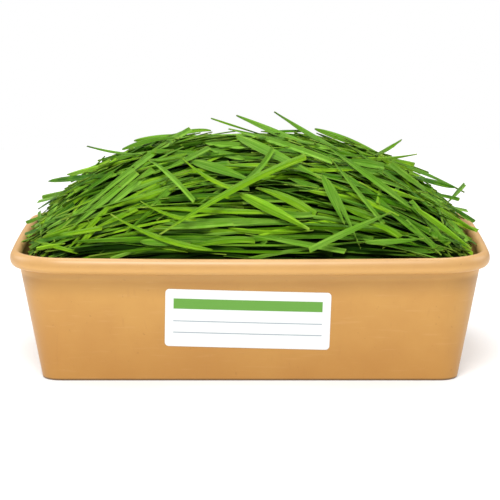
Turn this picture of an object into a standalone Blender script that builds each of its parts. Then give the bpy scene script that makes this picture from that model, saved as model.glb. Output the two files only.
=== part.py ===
"""Kraft paper tub heaped with cut wheatgrass blades.

All lengths are metres. The origin is the middle of the footprint on the table, +X runs along
the long side, -Y faces the labelled front and +Z is up.
"""
import math
from types import SimpleNamespace

import bmesh
import bpy
import numpy as np

# Tub
RIM_HALF_X = 0.0865
RIM_HALF_Y = 0.0600
RIM_CORNER = 0.0216
TUB_HEIGHT = 0.0458
BOARD = 0.0005
BASE_INSET = 0.0121
LIP = 0.0029
BASE_CORNER = 0.0068
ROLL_HALF_WIDTH = 0.0020
ROLL_HALF_HEIGHT = 0.00280
BOW_X = 0.0005
BOW_Y = 0.0026
FOOT_WIDTH = 0.0021
FLANGE_TOP = 0.0052
FLOOR_TOP = 0.0065
UNDER_ROLL = TUB_HEIGHT - 0.0063
GAP = 0.0003
SIDE_STEPS = 4
CORNER_STEPS = 6

# Label
LABEL_SIZE = (0.0584, 0.0214)
LABEL_CORNER = 0.0014
LABEL_CENTRE = (-0.0008, 0.0233)
LABEL_TILT = math.radians(-1.5)
LABEL_THICK = 0.00015

# Heap
HEAP_HALF_X = 0.0830
HEAP_HALF_Y = 0.0575
HEAP_EDGE = 0.0440
HEAP_RISE = 0.0378
HEAP_SQUARENESS = (3.2, 2.1)
HEAP_SKIN = 0.0095
PILE_CELL = 0.0032
PILE_SWELL = 0.0020
PILE_PASSES = 4
BELOW_FLOOR = 0.002
ABOVE_ALL = 0.110
CELL = 0.001
HARD_CELL = 0.0005
FIELD_HALF = (0.090, 0.064)

# Blades
SEED = 11
LOWER_BLADES = 1200
BACK_BLADES = 10
NAMED_BLADES = 56
BLADE_THICK = 0.00035
BLADE_SPANS = 9
ACROSS = np.linspace(-1, 1, 5)
FINE_ACROSS = np.linspace(-1, 1, 11)
# How the blades vary: least and most, or the spread of a normal draw
BLADE_LENGTHS = (0.036, 0.064, 0.094)
BLADE_WIDTHS = (0.0013, 0.0029)
POINTED_SHARE = 0.75
FOLDS = (-0.35, 0.40)
SLANTS = (-0.7, 0.7)
DROOPS = (0.4, 1.0)
LEANS = (0.6, 1.0)
TWIST = math.radians(14)
ROLL = math.radians(30)
SEEN_ROLL = math.radians(6)
SWAY = 0.06
SIDE_BEND = 1.6
OVER_SHARE = 0.15
SPREADS = (0.20, 0.50, 1.0)
SPREAD_SHARES = (0.50, 0.35, 0.15)
EDGEWARD = 0.7
SAG_UP = 0.6
# A blade's outline: its stalk, where it is widest, where it tapers and how blunt a cut end is
STALK = 0.26
WIDE_FROM = 0.65
SWELL_POWER = 1.6
TAPER_FROM = 0.66
POINT = 0.97
CUT_LOSS = 0.15
LIMP_BELOW = 9.0
LIMP_ON_TOP = 8.0
PLACES_TRIED = 14
TOP_PLACES_TRIED = 60
SLIDES = (-0.007, -0.006, -0.005, -0.004, -0.003, -0.002, -0.001, 0, 0.002, 0.004, 0.008, 0.012)
TILTS = np.linspace(-0.002, 0.002, 5)
BENDS = np.linspace(-0.003, 0.003, 5)
SOFT_SHARE = 0.88
LAYER = 0.00112
STICK_OUT = 0.0019
# Half length, half width and corner radius of the places that blades may reach
INSIDE_RIM = (RIM_HALF_X - 0.0052, RIM_HALF_Y - 0.0052, 0.0165)
OVER_SIDES = (RIM_HALF_X - 0.0010, RIM_HALF_Y - 0.0052, 0.0180)
VIEWPOINT = (0.0, -0.8695, 0.1907)
VIEW_DIP = math.radians(10)
FACING_SHARE = 0.5
SEEN_WIDTH = 0.86
OVER_FROM = 78
ON_HEAP = 0.003
NUDGE = 0.002
SLIDE_COST = 0.13
DEPTH_BOW = 0.003
# The blades on top, undermost first, as they show from VIEWPOINT on the upright plane through
# the middle of the tub, in millimetres: stem end across and up, far end across and up, bow,
# width, fold against the width, and 1 for a pointed far end or 0 for a cut one
TOP_BLADES = (
    (-76, 52, -83.4, 49.3, 0, 2.1, 0.30, 0),
    (-72, 48.8, -84, 45.2, 0, 2.0, -0.20, 0),
    (-64, 44.5, -82.5, 41.6, 0.3, 2.2, 0.20, 1),
    (-69, 41.5, -80, 39.5, 0, 2.0, -0.20, 0),
    (-66, 53, -81.5, 47.5, 0.4, 2.2, 0.20, 1),
    (-68, 60, -79, 57.2, 0, 2.2, 0.20, 0),
    (-60, 62, -77.5, 59, 0.4, 2.4, -0.20, 0),
    (72, 56.5, 83.7, 49.7, 0.3, 2.2, 0.20, 0),
    (66, 55.8, 81, 53.8, 0.3, 2.2, 0.20, 0),
    (69, 42.7, 83.5, 42.2, 0, 1.9, 0.20, 1),
    (74, 50.5, 85, 46.4, 0, 2.2, -0.20, 0),
    (76, 46, 84.5, 41.2, 0, 2.0, 0.30, 0),
    (62, 60.5, 78, 58, 0.5, 2.2, 0.30, 0),
    (-62.5, 37.8, -38, 40.5, 0, 2.8, 0.20, 0),
    (-67, 38.4, -57, 47.8, 0, 2.4, -0.25, 0),
    (-77.8, 47.8, -65.3, 56.6, 0, 2.4, 0.20, 0),
    (-74, 51.6, -59.7, 61.6, 0, 2.6, -0.20, 0),
    (-65.3, 57.9, -51, 68.5, 0, 2.6, 0.25, 0),
    (-70, 65.4, -52, 73, 0, 2.6, -0.20, 0),
    (-35.5, 39.8, -31.8, 36.8, 0, 1.8, -0.30, 0),
    (-47.5, 44.5, -33, 57, 0, 2.2, -0.25, 0),
    (-40, 59.8, -30.8, 65, 0, 2.0, -0.25, 0),
    (-16.5, 77.8, -2, 73.2, -0.3, 3.0, 0.25, 1),
    (-38, 73, -20, 73.2, 0, 3.0, 0.20, 0),
    (-21, 48.5, 14, 49.5, 0, 2.6, 0.25, 1),
    (28, 65, 55.5, 51.6, 0, 2.2, -0.25, 0),
    (38, 62, 63.5, 53.2, 0.4, 3.0, -0.20, 0),
    (26, 67.4, 34.3, 66.4, 0, 2.6, -0.20, 0),
    (50.5, 54, 69.7, 39.5, 0.8, 3.0, 0.25, 0),
    (55, 40.5, 72.8, 39.6, -1.2, 2.6, 0.20, 1),
    (4.4, 36.5, 22.4, 40.3, 0, 2.2, -0.25, 1),
    (60, 67, 76.5, 62.6, 0, 3.0, -0.20, 1),
    (50, 74, 61.3, 71.2, 0, 2.6, -0.20, 0),
    (66, 62, 82, 50.5, 0, 2.2, 0.20, 0),
    (71, 54, 81.5, 42.2, 0, 2.4, 0.25, 0),
    (4, 83.6, 20.5, 83.9, 0, 2.0, -0.20, 0),
    (14, 81, 30, 77, 0, 2.4, 0.20, 1),
    (-40, 74, -68, 67.5, 0, 3.0, -0.20, 1),
    (-45, 68, -75, 65, 0, 2.9, 0.24, 1),
    (-81, 42.5, -64, 38, 0, 1.9, -0.24, 0),
    (-78, 44, -78.5, 53.5, 0, 2.2, 0.40, 0),
    (31, 70.5, 49.5, 68, 0, 3.0, 0.20, 0),
    (28, 46.5, 46, 43, 0, 2.7, 0.20, 0),
    (33, 56, 47, 51, 0, 3.6, -0.20, 0),
    (24, 46.5, -8, 47.3, -1.2, 2.0, -0.20, 1),
    (0, 37.5, 6.5, 43, 0, 2.7, 0.40, 0),
    (70, 38.5, 58, 50, 0, 2.6, 0.30, 0),
    (65, 57.5, 45, 64, 0, 3.0, -0.20, 1),
    (-22, 64.8, 0, 62, 0, 2.4, 0.24, 0),
    (14, 66.3, 26, 62, 0, 3.0, 0.24, 0),
    (-20, 58.5, -2, 59.5, 0, 2.2, -0.24, 0),
    (-47, 72, -79, 54.5, 0.6, 2.5, 0.20, 1),
    (-55, 73, -34, 76, 0, 3.0, -0.24, 0),
    (-79, 44, -72, 56.5, 0, 2.6, 0.40, 0),
    (-84, 42.5, -55, 47.5, 0, 2.6, -0.30, 0),
    (-69, 38.5, -51, 57, 0, 2.4, -0.20, 0),
    (-57, 52, -36, 69.5, 0, 3.4, 0.24, 0),
    (-54, 54.5, -27.5, 62.5, 0, 3.2, -0.24, 0),
    (-37, 55.5, -27.5, 63.8, 0, 2.8, 0.20, 1),
    (-68, 46, -42, 68, 0, 3.3, 0.30, 0),
    (-71, 47, -22, 85, 0.6, 3.1, 0.24, 0),
    (-58, 47.5, -42, 55, 0, 2.6, -0.30, 0),
    (-41, 55, 8, 53, 0, 2.6, -0.20, 1),
    (-24, 40.5, 2, 44, 0, 3.2, -0.20, 0),
    (-22, 42, -41, 42.5, 0, 3.2, 0.20, 1),
    (-36, 46.5, -6, 48.8, 0, 3.1, 0.40, 0),
    (-41, 56.5, -20, 49.5, 0, 1.7, -0.20, 0),
    (-52, 52, -14, 38.5, -0.8, 2.4, -0.30, 1),
    (2, 64.5, -22, 72.5, 0.5, 4.4, 0.24, 1),
    (-36, 67.5, -15, 77.5, -0.4, 2.5, 0.20, 0),
    (-26, 80, -47.5, 78, 0.3, 3.5, -0.20, 1),
    (-15, 81, -43, 79.8, 1.0, 3.5, -0.20, 1),
    (-32, 79, -14.5, 84.8, -0.3, 2.5, -0.20, 1),
    (-19, 79.3, 3, 77.5, 0, 4.0, 0.36, 0),
    (27, 66.5, -5, 80.5, 0.5, 4.4, 0.20, 1),
    (-8, 84.5, 31, 72, 0.8, 3.5, 0.36, 0),
    (-37.5, 73.5, -20.5, 58, 0, 2.5, 0.40, 0),
    (2, 63, 25, 54.5, 0, 4.2, -0.30, 0),
    (6, 53, 23.5, 52, 0, 2.9, 0.30, 0),
    (22.5, 46.3, -4, 60, 0.4, 4.4, -0.24, 1),
    (-25, 72.5, -6, 61.2, 0, 2.1, -0.30, 0),
    (-7, 60.5, 8.7, 75, 0, 2.7, 0.30, 0),
    (-34, 46.5, 20.8, 72, -0.8, 3.5, -0.34, 0),
    (-2, 44.8, 36, 38, 0, 2.7, 0.30, 0),
    (34, 73, 50, 70.3, 0, 4.6, 0.24, 0),
    (28, 78.5, 60, 55, 0.5, 2.8, 0.20, 1),
    (30, 73.8, 50, 49, 0, 2.0, 0.30, 0),
    (35.5, 48.5, 27, 67.5, 0, 3.4, 0.50, 1),
    (41.5, 37.5, 28.8, 66, 0.8, 2.5, 0.30, 1),
    (42, 50, 56.5, 44.5, 0, 2.8, -0.20, 0),
    (52.8, 53.5, 22, 39, 0.3, 3.0, 0.24, 0),
    (65, 43.5, 43, 42, -0.4, 2.6, 0.30, 1),
    (76, 38.5, 60, 57.5, 0, 2.5, 0.50, 0),
    (83, 39, 62, 54.5, 0.3, 2.8, -0.24, 1),
    (85, 45.5, 69, 55, 0.3, 2.2, -0.20, 1),
    (80, 50, 52, 71, 0.6, 3.2, 0.40, 0),
    (50, 74.5, 24, 85, 0.8, 4.3, -0.20, 1),
    (80, 61, 48, 73.5, 1.2, 3.0, 0.20, 1),
    (62, 75, 38, 73.5, -0.8, 2.2, -0.30, 1),
    (46, 73, 56, 80.6, 0, 2.0, -0.20, 0),
    (73, 56.5, 79.8, 64, 0, 2.4, 0.40, 0),
    (34, 75, 9, 91.4, -0.6, 2.5, 0.24, 1),
    (24, 78, -5, 88.8, 0.5, 3.3, 0.24, 1),
    (4, 82.5, -14.5, 88.5, 0, 1.4, -0.20, 1),
    (-40, 74.5, -60.5, 77.6, -0.8, 1.4, 0.20, 1),
)


def clear_scene():
    for thing in list(bpy.data.objects):
        bpy.data.objects.remove(thing, do_unlink=True)


def principled(name, colour, roughness):
    material = bpy.data.materials.new(name)
    material.use_nodes = True
    shader = material.node_tree.nodes["Principled BSDF"]
    shader.inputs["Base Color"].default_value = (*colour, 1)
    shader.inputs["Roughness"].default_value = roughness
    shader.inputs["Metallic"].default_value = 0
    return material


def finish(name, mesh_builder, collection, material):
    """Turn a bmesh into a named object in the collection."""
    mesh = bpy.data.meshes.new(name)
    mesh_builder.to_mesh(mesh)
    mesh_builder.free()
    mesh.shade_smooth()
    mesh.set_sharp_from_angle(angle=math.radians(40))
    mesh.materials.append(material)
    thing = bpy.data.objects.new(name, mesh)
    collection.objects.link(thing)
    return thing


def solidify(thing, thickness, offset):
    wall = thing.modifiers.new("thickness", "SOLIDIFY")
    wall.thickness = thickness
    wall.offset = offset
    wall.use_even_offset = True


# ---------------------------------------------------------------- tub

def outline(half_x, half_y, corner, bow_x, bow_y):
    """A rounded rectangle, anticlockwise from the front middle, whose sides swell by their bow."""
    tilt_long = 0.0
    tilt_short = 0.0
    for _ in range(4):
        centre_x = half_x - bow_x - corner * math.cos(tilt_short)
        centre_y = half_y - bow_y - corner * math.cos(tilt_long)
        chord_x = centre_x + corner * math.sin(tilt_long)
        chord_y = centre_y + corner * math.sin(tilt_short)
        tilt_long = math.atan(2 * bow_y / chord_x)
        tilt_short = math.atan(2 * bow_x / chord_y)
    quarter = []
    for step in range(SIDE_STEPS):
        share = step / SIDE_STEPS
        quarter.append((chord_x * share, -half_y + bow_y * share ** 2))
    start = -math.pi / 2 + tilt_long
    for step in range(CORNER_STEPS + 1):
        angle = start + (-tilt_short - start) * step / CORNER_STEPS
        quarter.append((centre_x + corner * math.cos(angle), -centre_y + corner * math.sin(angle)))
    for step in range(1, SIDE_STEPS + 1):
        share = 1 - step / SIDE_STEPS
        quarter.append((half_x - bow_x * share ** 2, -chord_y * share))
    quarter = np.array(quarter)
    half = np.vstack([quarter, (quarter * (1, -1))[-2::-1]])
    return np.vstack([half, (half * (-1, 1))[-2:0:-1]])


def height_share(z):
    """The part of the way from the table to the middle of the roll."""
    return min(z / (TUB_HEIGHT - ROLL_HALF_HEIGHT), 1)


def wall_inset(z):
    """How far the wall's outer face lies inside the rim at a height."""
    return BASE_INSET + (LIP - BASE_INSET) * height_share(z)


def tub_ring(inset, z):
    """The outline at a height, a given distance inside the rim."""
    share = height_share(z)
    top_corner = RIM_CORNER - wall_inset(TUB_HEIGHT)
    corner = BASE_CORNER + (top_corner - BASE_CORNER) * share + wall_inset(z) - inset
    flat = outline(RIM_HALF_X - inset, RIM_HALF_Y - inset, corner, BOW_X * share, BOW_Y * share)
    return [(x, y, z) for x, y in flat]


def add_ring(builder, ring):
    return [builder.verts.new(point) for point in ring]


def skin(builder, rings):
    """Join rings of the same number of points into a band whose front faces away from the middle."""
    for lower, upper in zip(rings, rings[1:]):
        count = len(lower)
        for index in range(count):
            after = (index + 1) % count
            builder.faces.new((lower[index], lower[after], upper[after], upper[index]))


def wall_profile():
    """The board's outer face as (inset, z): up inside the foot, round it, up the wall, into the roll."""
    points = []
    for z in (FLANGE_TOP, 0.0006):
        points.append((wall_inset(z) + FOOT_WIDTH, z))
    points.append((BASE_INSET + FOOT_WIDTH - 0.0005, 0))
    points.append((BASE_INSET + 0.0005, 0))
    for z in (0.0006, 0.014, 0.028, UNDER_ROLL):
        points.append((wall_inset(z), z))
    middle_z = TUB_HEIGHT - ROLL_HALF_HEIGHT
    half_width = ROLL_HALF_WIDTH - BOARD
    half_height = ROLL_HALF_HEIGHT - BOARD
    for degrees in range(195, -121, -35):
        angle = math.radians(degrees)
        inset = ROLL_HALF_WIDTH - half_width * math.cos(angle)
        points.append((inset, middle_z + half_height * math.sin(angle)))
    return points


def make_tub_wall(collection, material):
    builder = bmesh.new()
    rings = [add_ring(builder, tub_ring(inset, z)) for inset, z in wall_profile()]
    skin(builder, rings)
    wall = finish("tub_wall", builder, collection, material)
    solidify(wall, BOARD, -1)
    return wall


def make_tub_floor(collection, material):
    """An inverted shallow tray: its skirt hangs in the wall's folded foot."""
    clearance = BOARD + GAP
    profile = [(wall_inset(z) + clearance, z) for z in (0.0010, FLOOR_TOP - 0.0008)]
    for extra in (0.0005, 0.0060):
        profile.append((wall_inset(FLOOR_TOP) + clearance + extra, FLOOR_TOP))
    builder = bmesh.new()
    rings = [add_ring(builder, tub_ring(inset, z)) for inset, z in profile]
    skin(builder, rings)
    builder.faces.new(rings[-1])
    floor = finish("tub_floor", builder, collection, material)
    solidify(floor, BOARD, -1)
    return floor


def front_of_wall(x, z):
    """The depth of the front wall's outer face at a place."""
    chord = RIM_HALF_X - RIM_CORNER
    return -(RIM_HALF_Y - wall_inset(z)) + BOW_Y * height_share(z) * (x / chord) ** 2


def make_label(collection, material):
    """A thin sheet with rounded corners that follows the front wall."""
    width, height = LABEL_SIZE
    builder = bmesh.new()
    bmesh.ops.create_grid(builder, x_segments=14, y_segments=6, size=0.5)
    turn = (math.cos(LABEL_TILT), math.sin(LABEL_TILT))
    for vert in builder.verts:
        across = vert.co.x * width
        up = vert.co.y * height
        if abs(vert.co.x) > 0.499 and abs(vert.co.y) > 0.499:
            across -= math.copysign(LABEL_CORNER * 0.3, across)
            up -= math.copysign(LABEL_CORNER * 0.3, up)
        x = LABEL_CENTRE[0] + across * turn[0] - up * turn[1]
        z = LABEL_CENTRE[1] + across * turn[1] + up * turn[0]
        vert.co = (x, front_of_wall(x, z) - GAP, z)
    label = finish("label", builder, collection, material)
    solidify(label, LABEL_THICK, 1)
    return label


# ---------------------------------------------------------------- heap

def heap_top(x, y):
    """The rounded height that the blades build up to."""
    along = np.clip(np.abs(x) / HEAP_HALF_X, 0, 1)
    across = np.clip(np.abs(y) / HEAP_HALF_Y, 0, 1)
    square_x, square_y = HEAP_SQUARENESS
    return HEAP_EDGE + HEAP_RISE * (1 - along ** square_x) * (1 - across ** square_y)


def outside_by(x, y, reach):
    """How far places lie outside a bowed, rounded rectangle; negative inside it."""
    half_x, half_y, corner = reach
    bow = BOW_Y * np.minimum((x / (RIM_HALF_X - RIM_CORNER)) ** 2, 1)
    over_x = np.abs(x) - (half_x - corner)
    over_y = np.abs(y) + bow - (half_y - corner)
    beyond = np.hypot(np.maximum(over_x, 0), np.maximum(over_y, 0))
    return beyond + np.minimum(np.maximum(over_x, over_y), 0) - corner


def raster(x, y, cell):
    """The row and column of places on a grid of square cells over the tub."""
    half_x, half_y = FIELD_HALF
    column = np.rint((x + half_x) / cell).astype(int)
    row = np.rint((y + half_y) / cell).astype(int)
    return np.clip(row, 1, round(2 * half_y / cell) - 1), np.clip(column, 1, round(2 * half_x / cell) - 1)


def raster_places(cell):
    x = np.linspace(-FIELD_HALF[0], FIELD_HALF[0], round(2 * FIELD_HALF[0] / cell) + 1)
    y = np.linspace(-FIELD_HALF[1], FIELD_HALF[1], round(2 * FIELD_HALF[1] / cell) + 1)
    return np.meshgrid(x, y)


class Field:
    """Heights over the tub: the soft pile, and the hard rim and blades that nothing may cut."""

    def __init__(self):
        x, y = raster_places(CELL)
        self.soft = heap_top(x, y) - HEAP_SKIN
        x, y = raster_places(HARD_CELL)
        self.hard = np.where(outside_by(x, y, INSIDE_RIM) > 0, TUB_HEIGHT, 0)

    def cells(self, x, y):
        return raster(x, y, CELL)

    def lift(self, points, clearance):
        """How far a blade has to rise to rest on the soft pile and clear what is hard."""
        x, y, z = points[..., 0], points[..., 1], points[..., 2]
        soft = np.quantile(self.soft[raster(x, y, CELL)] - z, SOFT_SHARE)
        return max(soft, np.max(self.hard[raster(x, y, HARD_CELL)] - z)) + clearance

    def sink_in(self, points):
        """Raise the soft pile under a blade by no more than one loose layer."""
        place = self.cells(points[..., 0], points[..., 1])
        np.maximum.at(self.soft, place, np.minimum(points[..., 2], self.soft[place] + LAYER))

    def lie_on(self, points):
        """Mark a blade's upper face as hard, one cell wider all round."""
        row, column = raster(points[..., 0], points[..., 1], HARD_CELL)
        for shift_row in (-1, 0, 1):
            for shift_column in (-1, 0, 1):
                place = (row + shift_row, column + shift_column)
                np.maximum.at(self.hard, place, points[..., 2] + BLADE_THICK / 2)


def half_width(share, tipped):
    """A blade's half width against its widest, from the cut end (0) to the far end (1)."""
    widened = np.sin(np.minimum(share / WIDE_FROM, 1) * math.pi / 2) ** SWELL_POWER
    swell = STALK + (1 - STALK) * widened
    taper = np.clip((share - TAPER_FROM) / (1 - TAPER_FROM), 0, 1) ** 2
    return swell * (np.sqrt(1 - POINT * taper) if tipped else 1 - CUT_LOSS * share)


def pick_blade(rng, limpest):
    """Pick up a blade: its size, its fold and how it bends, twists and leans."""
    blade = SimpleNamespace()
    blade.tipped = rng.random() < POINTED_SHARE
    blade.length = rng.triangular(*BLADE_LENGTHS)
    blade.width = rng.uniform(*BLADE_WIDTHS)
    blade.fold = rng.uniform(*FOLDS)
    blade.slant = rng.uniform(*SLANTS, 2)
    blade.droop = rng.uniform(*DROOPS) * limpest
    blade.twist = rng.normal(0, TWIST)
    blade.lean = rng.uniform(*LEANS)
    blade.roll = rng.normal(0, ROLL)
    blade.heading = rng.normal(0, rng.choice(SPREADS, p=SPREAD_SHARES))
    blade.side_bend = rng.normal(0, SIDE_BEND)
    blade.reach = OVER_SIDES if rng.random() < OVER_SHARE else INSIDE_RIM
    blade.share = np.linspace(0, 1, int(blade.length / CELL) + 2)
    blade.along = (blade.share - 0.5) * blade.length
    blade.heading += math.pi * rng.integers(2)
    return blade


def place_blade(blade, rng):
    """Choose a place in plan; False where the blade would leave the tub."""
    blade.turned = blade.heading + rng.normal(0, SWAY) + blade.side_bend * blade.along
    step = blade.length / len(blade.along)
    x = np.cumsum(np.cos(blade.turned)) * step
    y = np.cumsum(np.sin(blade.turned)) * step
    room_x = blade.reach[0] - np.ptp(x) / 2
    room_y = blade.reach[1] - np.ptp(y) / 2
    draw = rng.uniform(-1, 1, 2)
    middle = np.sign(draw) * np.abs(draw) ** EDGEWARD * (max(room_x, 0), max(room_y, 0))
    blade.x = x - (x.max() + x.min()) / 2 + middle[0]
    blade.y = y - (y.max() + y.min()) / 2 + middle[1]
    return np.max(outside_by(blade.x, blade.y, blade.reach)) < -blade.width / 2


def blade_points(blade, across):
    """Points on the blade's middle surface, one row for each place across it."""
    slope = np.gradient(blade.z, blade.along)
    cos_turn = np.cos(blade.turned)
    sin_turn = np.sin(blade.turned)
    level = np.stack([-sin_turn, cos_turn, 0 * slope], 1)
    up = np.stack([-cos_turn * slope, -sin_turn * slope, 1 + 0 * slope], 1)
    up /= np.sqrt(1 + slope ** 2)[:, None]
    cos_roll = np.cos(blade.rolls)[:, None]
    sin_roll = np.sin(blade.rolls)[:, None]
    side = cos_roll * level + sin_roll * up
    face = cos_roll * up - sin_roll * level
    line = np.stack([blade.x, blade.y, blade.z], 1)
    reach = half_width(blade.share, blade.tipped) * blade.width / 2
    rows = []
    for place in across:
        rise = blade.fold * reach * (abs(place) - 0.5)
        rows.append(line + side * (reach * place)[:, None] + face * rise[:, None])
    return np.array(rows)


def seen_at(across, up, depth):
    """Where the line of sight to a place on the upright middle plane is at a depth."""
    share = 1 - depth / VIEWPOINT[1]
    return across * share, depth, VIEWPOINT[2] + (up - VIEWPOINT[2]) * share


def spot(across, up, reach):
    """The place on the heap that shows at a position, or else the ridge right below it."""
    x, depth, z = seen_at(across, up, np.arange(-FIELD_HALF[1], FIELD_HALF[1], CELL / 2))
    above = np.where(outside_by(x, depth, reach) < -ON_HEAP, z - heap_top(x, depth), math.inf)
    met = np.nonzero(above <= 0)[0]
    index = met[0] if len(met) else np.argmin(above)
    return np.array([x[index], depth[index], z[index]])


def seen_blade(row, rng):
    """A blade of TOP_BLADES, on a smooth line through the places of its ends and middle."""
    stem_x, stem_z, far_x, far_z, bow, width, fold, pointed = row
    blade = SimpleNamespace(width=width * SEEN_WIDTH / 1000, fold=fold, tipped=bool(pointed))
    blade.slant = rng.uniform(*SLANTS, 2)
    blade.reach = OVER_SIDES if max(abs(stem_x), abs(far_x)) > OVER_FROM else INSIDE_RIM
    ends = np.array([[stem_x, stem_z], [far_x, far_z]]) / 1000
    middle = ends.mean(0) + (0, bow / 1000)
    start, centre, stop = [spot(*place, blade.reach) for place in (ends[0], middle, ends[1])]
    near, far = sorted((start[1], stop[1]))
    centre = np.array(seen_at(*middle, np.clip(centre[1], near - DEPTH_BOW, far + DEPTH_BOW)))
    t = np.linspace(0, 1, 200)[:, None]
    line = (1 - t) * (1 - 2 * t) * start + 4 * t * (1 - t) * centre + t * (2 * t - 1) * stop
    run = np.hypot(*np.diff(line[:, :2], axis=0).T)
    reached = np.concatenate([[0], np.cumsum(run)])
    blade.length = reached[-1]
    blade.share = np.linspace(0, 1, int(blade.length / HARD_CELL) + 4)
    blade.along = (blade.share - 0.5) * blade.length
    stops = blade.share * blade.length
    blade.x, blade.y, blade.z = (np.interp(stops, reached, line[:, axis]) for axis in range(3))
    blade.turned = np.unwrap(np.arctan2(np.gradient(blade.y), np.gradient(blade.x)))
    facing = np.arctan2(np.cos(blade.turned) * math.cos(VIEW_DIP), math.sin(VIEW_DIP))
    lean = cross_lean(blade) + rng.normal(0, SEEN_ROLL)
    blade.rolls = lean + FACING_SHARE * (facing - lean)
    return blade


def cross_lean(blade):
    """How much the heap's top leans across a blade."""
    nudge_x = -NUDGE * np.sin(blade.turned)
    nudge_y = NUDGE * np.cos(blade.turned)
    left = heap_top(blade.x + nudge_x, blade.y + nudge_y)
    right = heap_top(blade.x - nudge_x, blade.y - nudge_y)
    return math.atan(np.mean(left - right) / (2 * NUDGE))


def settle_blade(blade, field, clearance, slides):
    """Slide a blade along the line of sight, tilt and bend it, and lift it just clear of the rest."""
    seen = np.stack([blade.x, blade.y, blade.z]) - np.array(VIEWPOINT)[:, None]
    part = blade.share * 2 - 1
    least = math.inf
    for slide in slides:
        blade.x, blade.y, wanted = seen * (1 + slide / seen[1].mean()) + np.array(VIEWPOINT)[:, None]
        for tilt in TILTS:
            for bend in BENDS:
                blade.z = wanted + tilt * part + bend * (part ** 2 - 1 / 3)
                blade.z = blade.z + field.lift(blade_points(blade, FINE_ACROSS), clearance)
                miss = np.mean((blade.z - wanted) ** 2) + (SLIDE_COST * slide) ** 2
                if miss < least:
                    least = miss
                    chosen = (blade.x, blade.y, blade.z)
    blade.x, blade.y, blade.z = chosen


def lay_seen(field, rows, rng, on_top):
    """Lay blades of TOP_BLADES in order, into the pile or clear on top of it."""
    laid = []
    for row in rows:
        blade = seen_blade(row, rng)
        if on_top:
            settle_blade(blade, field, BLADE_THICK / 2 + GAP, SLIDES)
            field.lie_on(blade_points(blade, FINE_ACROSS))
        else:
            field.sink_in(blade_points(blade, FINE_ACROSS))
        laid.append(blade)
    return laid


def rest_blade(blade, field, clearance):
    """Bend a blade to the ground below it as far as it droops, and lift it clear."""
    blade.rolls = cross_lean(blade) * blade.lean + blade.roll + blade.twist * (blade.share - 0.5)
    ground = field.soft[field.cells(blade.x, blade.y)]
    bend = np.clip(np.polyfit(blade.along, ground, 2)[0], -blade.droop / 2, SAG_UP)
    slope = np.polyfit(blade.along, ground - bend * blade.along ** 2, 1)[0]
    blade.z = slope * blade.along + bend * blade.along ** 2
    blade.z += field.lift(blade_points(blade, FINE_ACROSS), clearance)


def lay_lower(field, count, rng):
    """The blades inside the heap: each goes to the emptiest of a few places and sinks in."""
    laid = []
    while len(laid) < count:
        blade = pick_blade(rng, LIMP_BELOW)
        emptiest = -math.inf
        for _ in range(PLACES_TRIED):
            if not place_blade(blade, rng):
                continue
            ground = field.soft[field.cells(blade.x, blade.y)]
            room = np.mean(heap_top(blade.x, blade.y) - ground)
            if room > emptiest:
                emptiest = room
                chosen = (blade.x, blade.y, blade.turned)
        if emptiest > -math.inf:
            blade.x, blade.y, blade.turned = chosen
            rest_blade(blade, field, 0)
            allowed = np.maximum(heap_top(blade.x, blade.y), TUB_HEIGHT) + STICK_OUT
            if np.all(blade.z < allowed):
                field.sink_in(blade_points(blade, FINE_ACROSS))
                laid.append(blade)
    return laid


def lay_back(field, count, rng):
    """Named blades on the back half: each goes where it lies lowest and clears all the others."""
    laid = []
    while len(laid) < count:
        blade = pick_blade(rng, LIMP_ON_TOP)
        lowest = math.inf
        for _ in range(TOP_PLACES_TRIED):
            if not place_blade(blade, rng) or blade.y.min() < 0:
                continue
            rest_blade(blade, field, BLADE_THICK / 2 + GAP)
            height = np.mean(blade.z - heap_top(blade.x, blade.y))
            if height < lowest:
                lowest = height
                chosen = (blade.x, blade.y, blade.turned, blade.rolls, blade.z)
        if lowest < math.inf:
            blade.x, blade.y, blade.turned, blade.rolls, blade.z = chosen
            field.lie_on(blade_points(blade, FINE_ACROSS))
            laid.append(blade)
    return laid


def lay_heap(field, rng):
    """Every blade in order: those joined in the pile, then the named ones."""
    lower = lay_lower(field, LOWER_BLADES, rng)
    under = len(TOP_BLADES) + BACK_BLADES - NAMED_BLADES
    lower += lay_seen(field, TOP_BLADES[:under], rng, False)
    named = lay_seen(field, TOP_BLADES[under:], rng, True)
    named += lay_back(field, BACK_BLADES, rng)
    return lower, named


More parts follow.
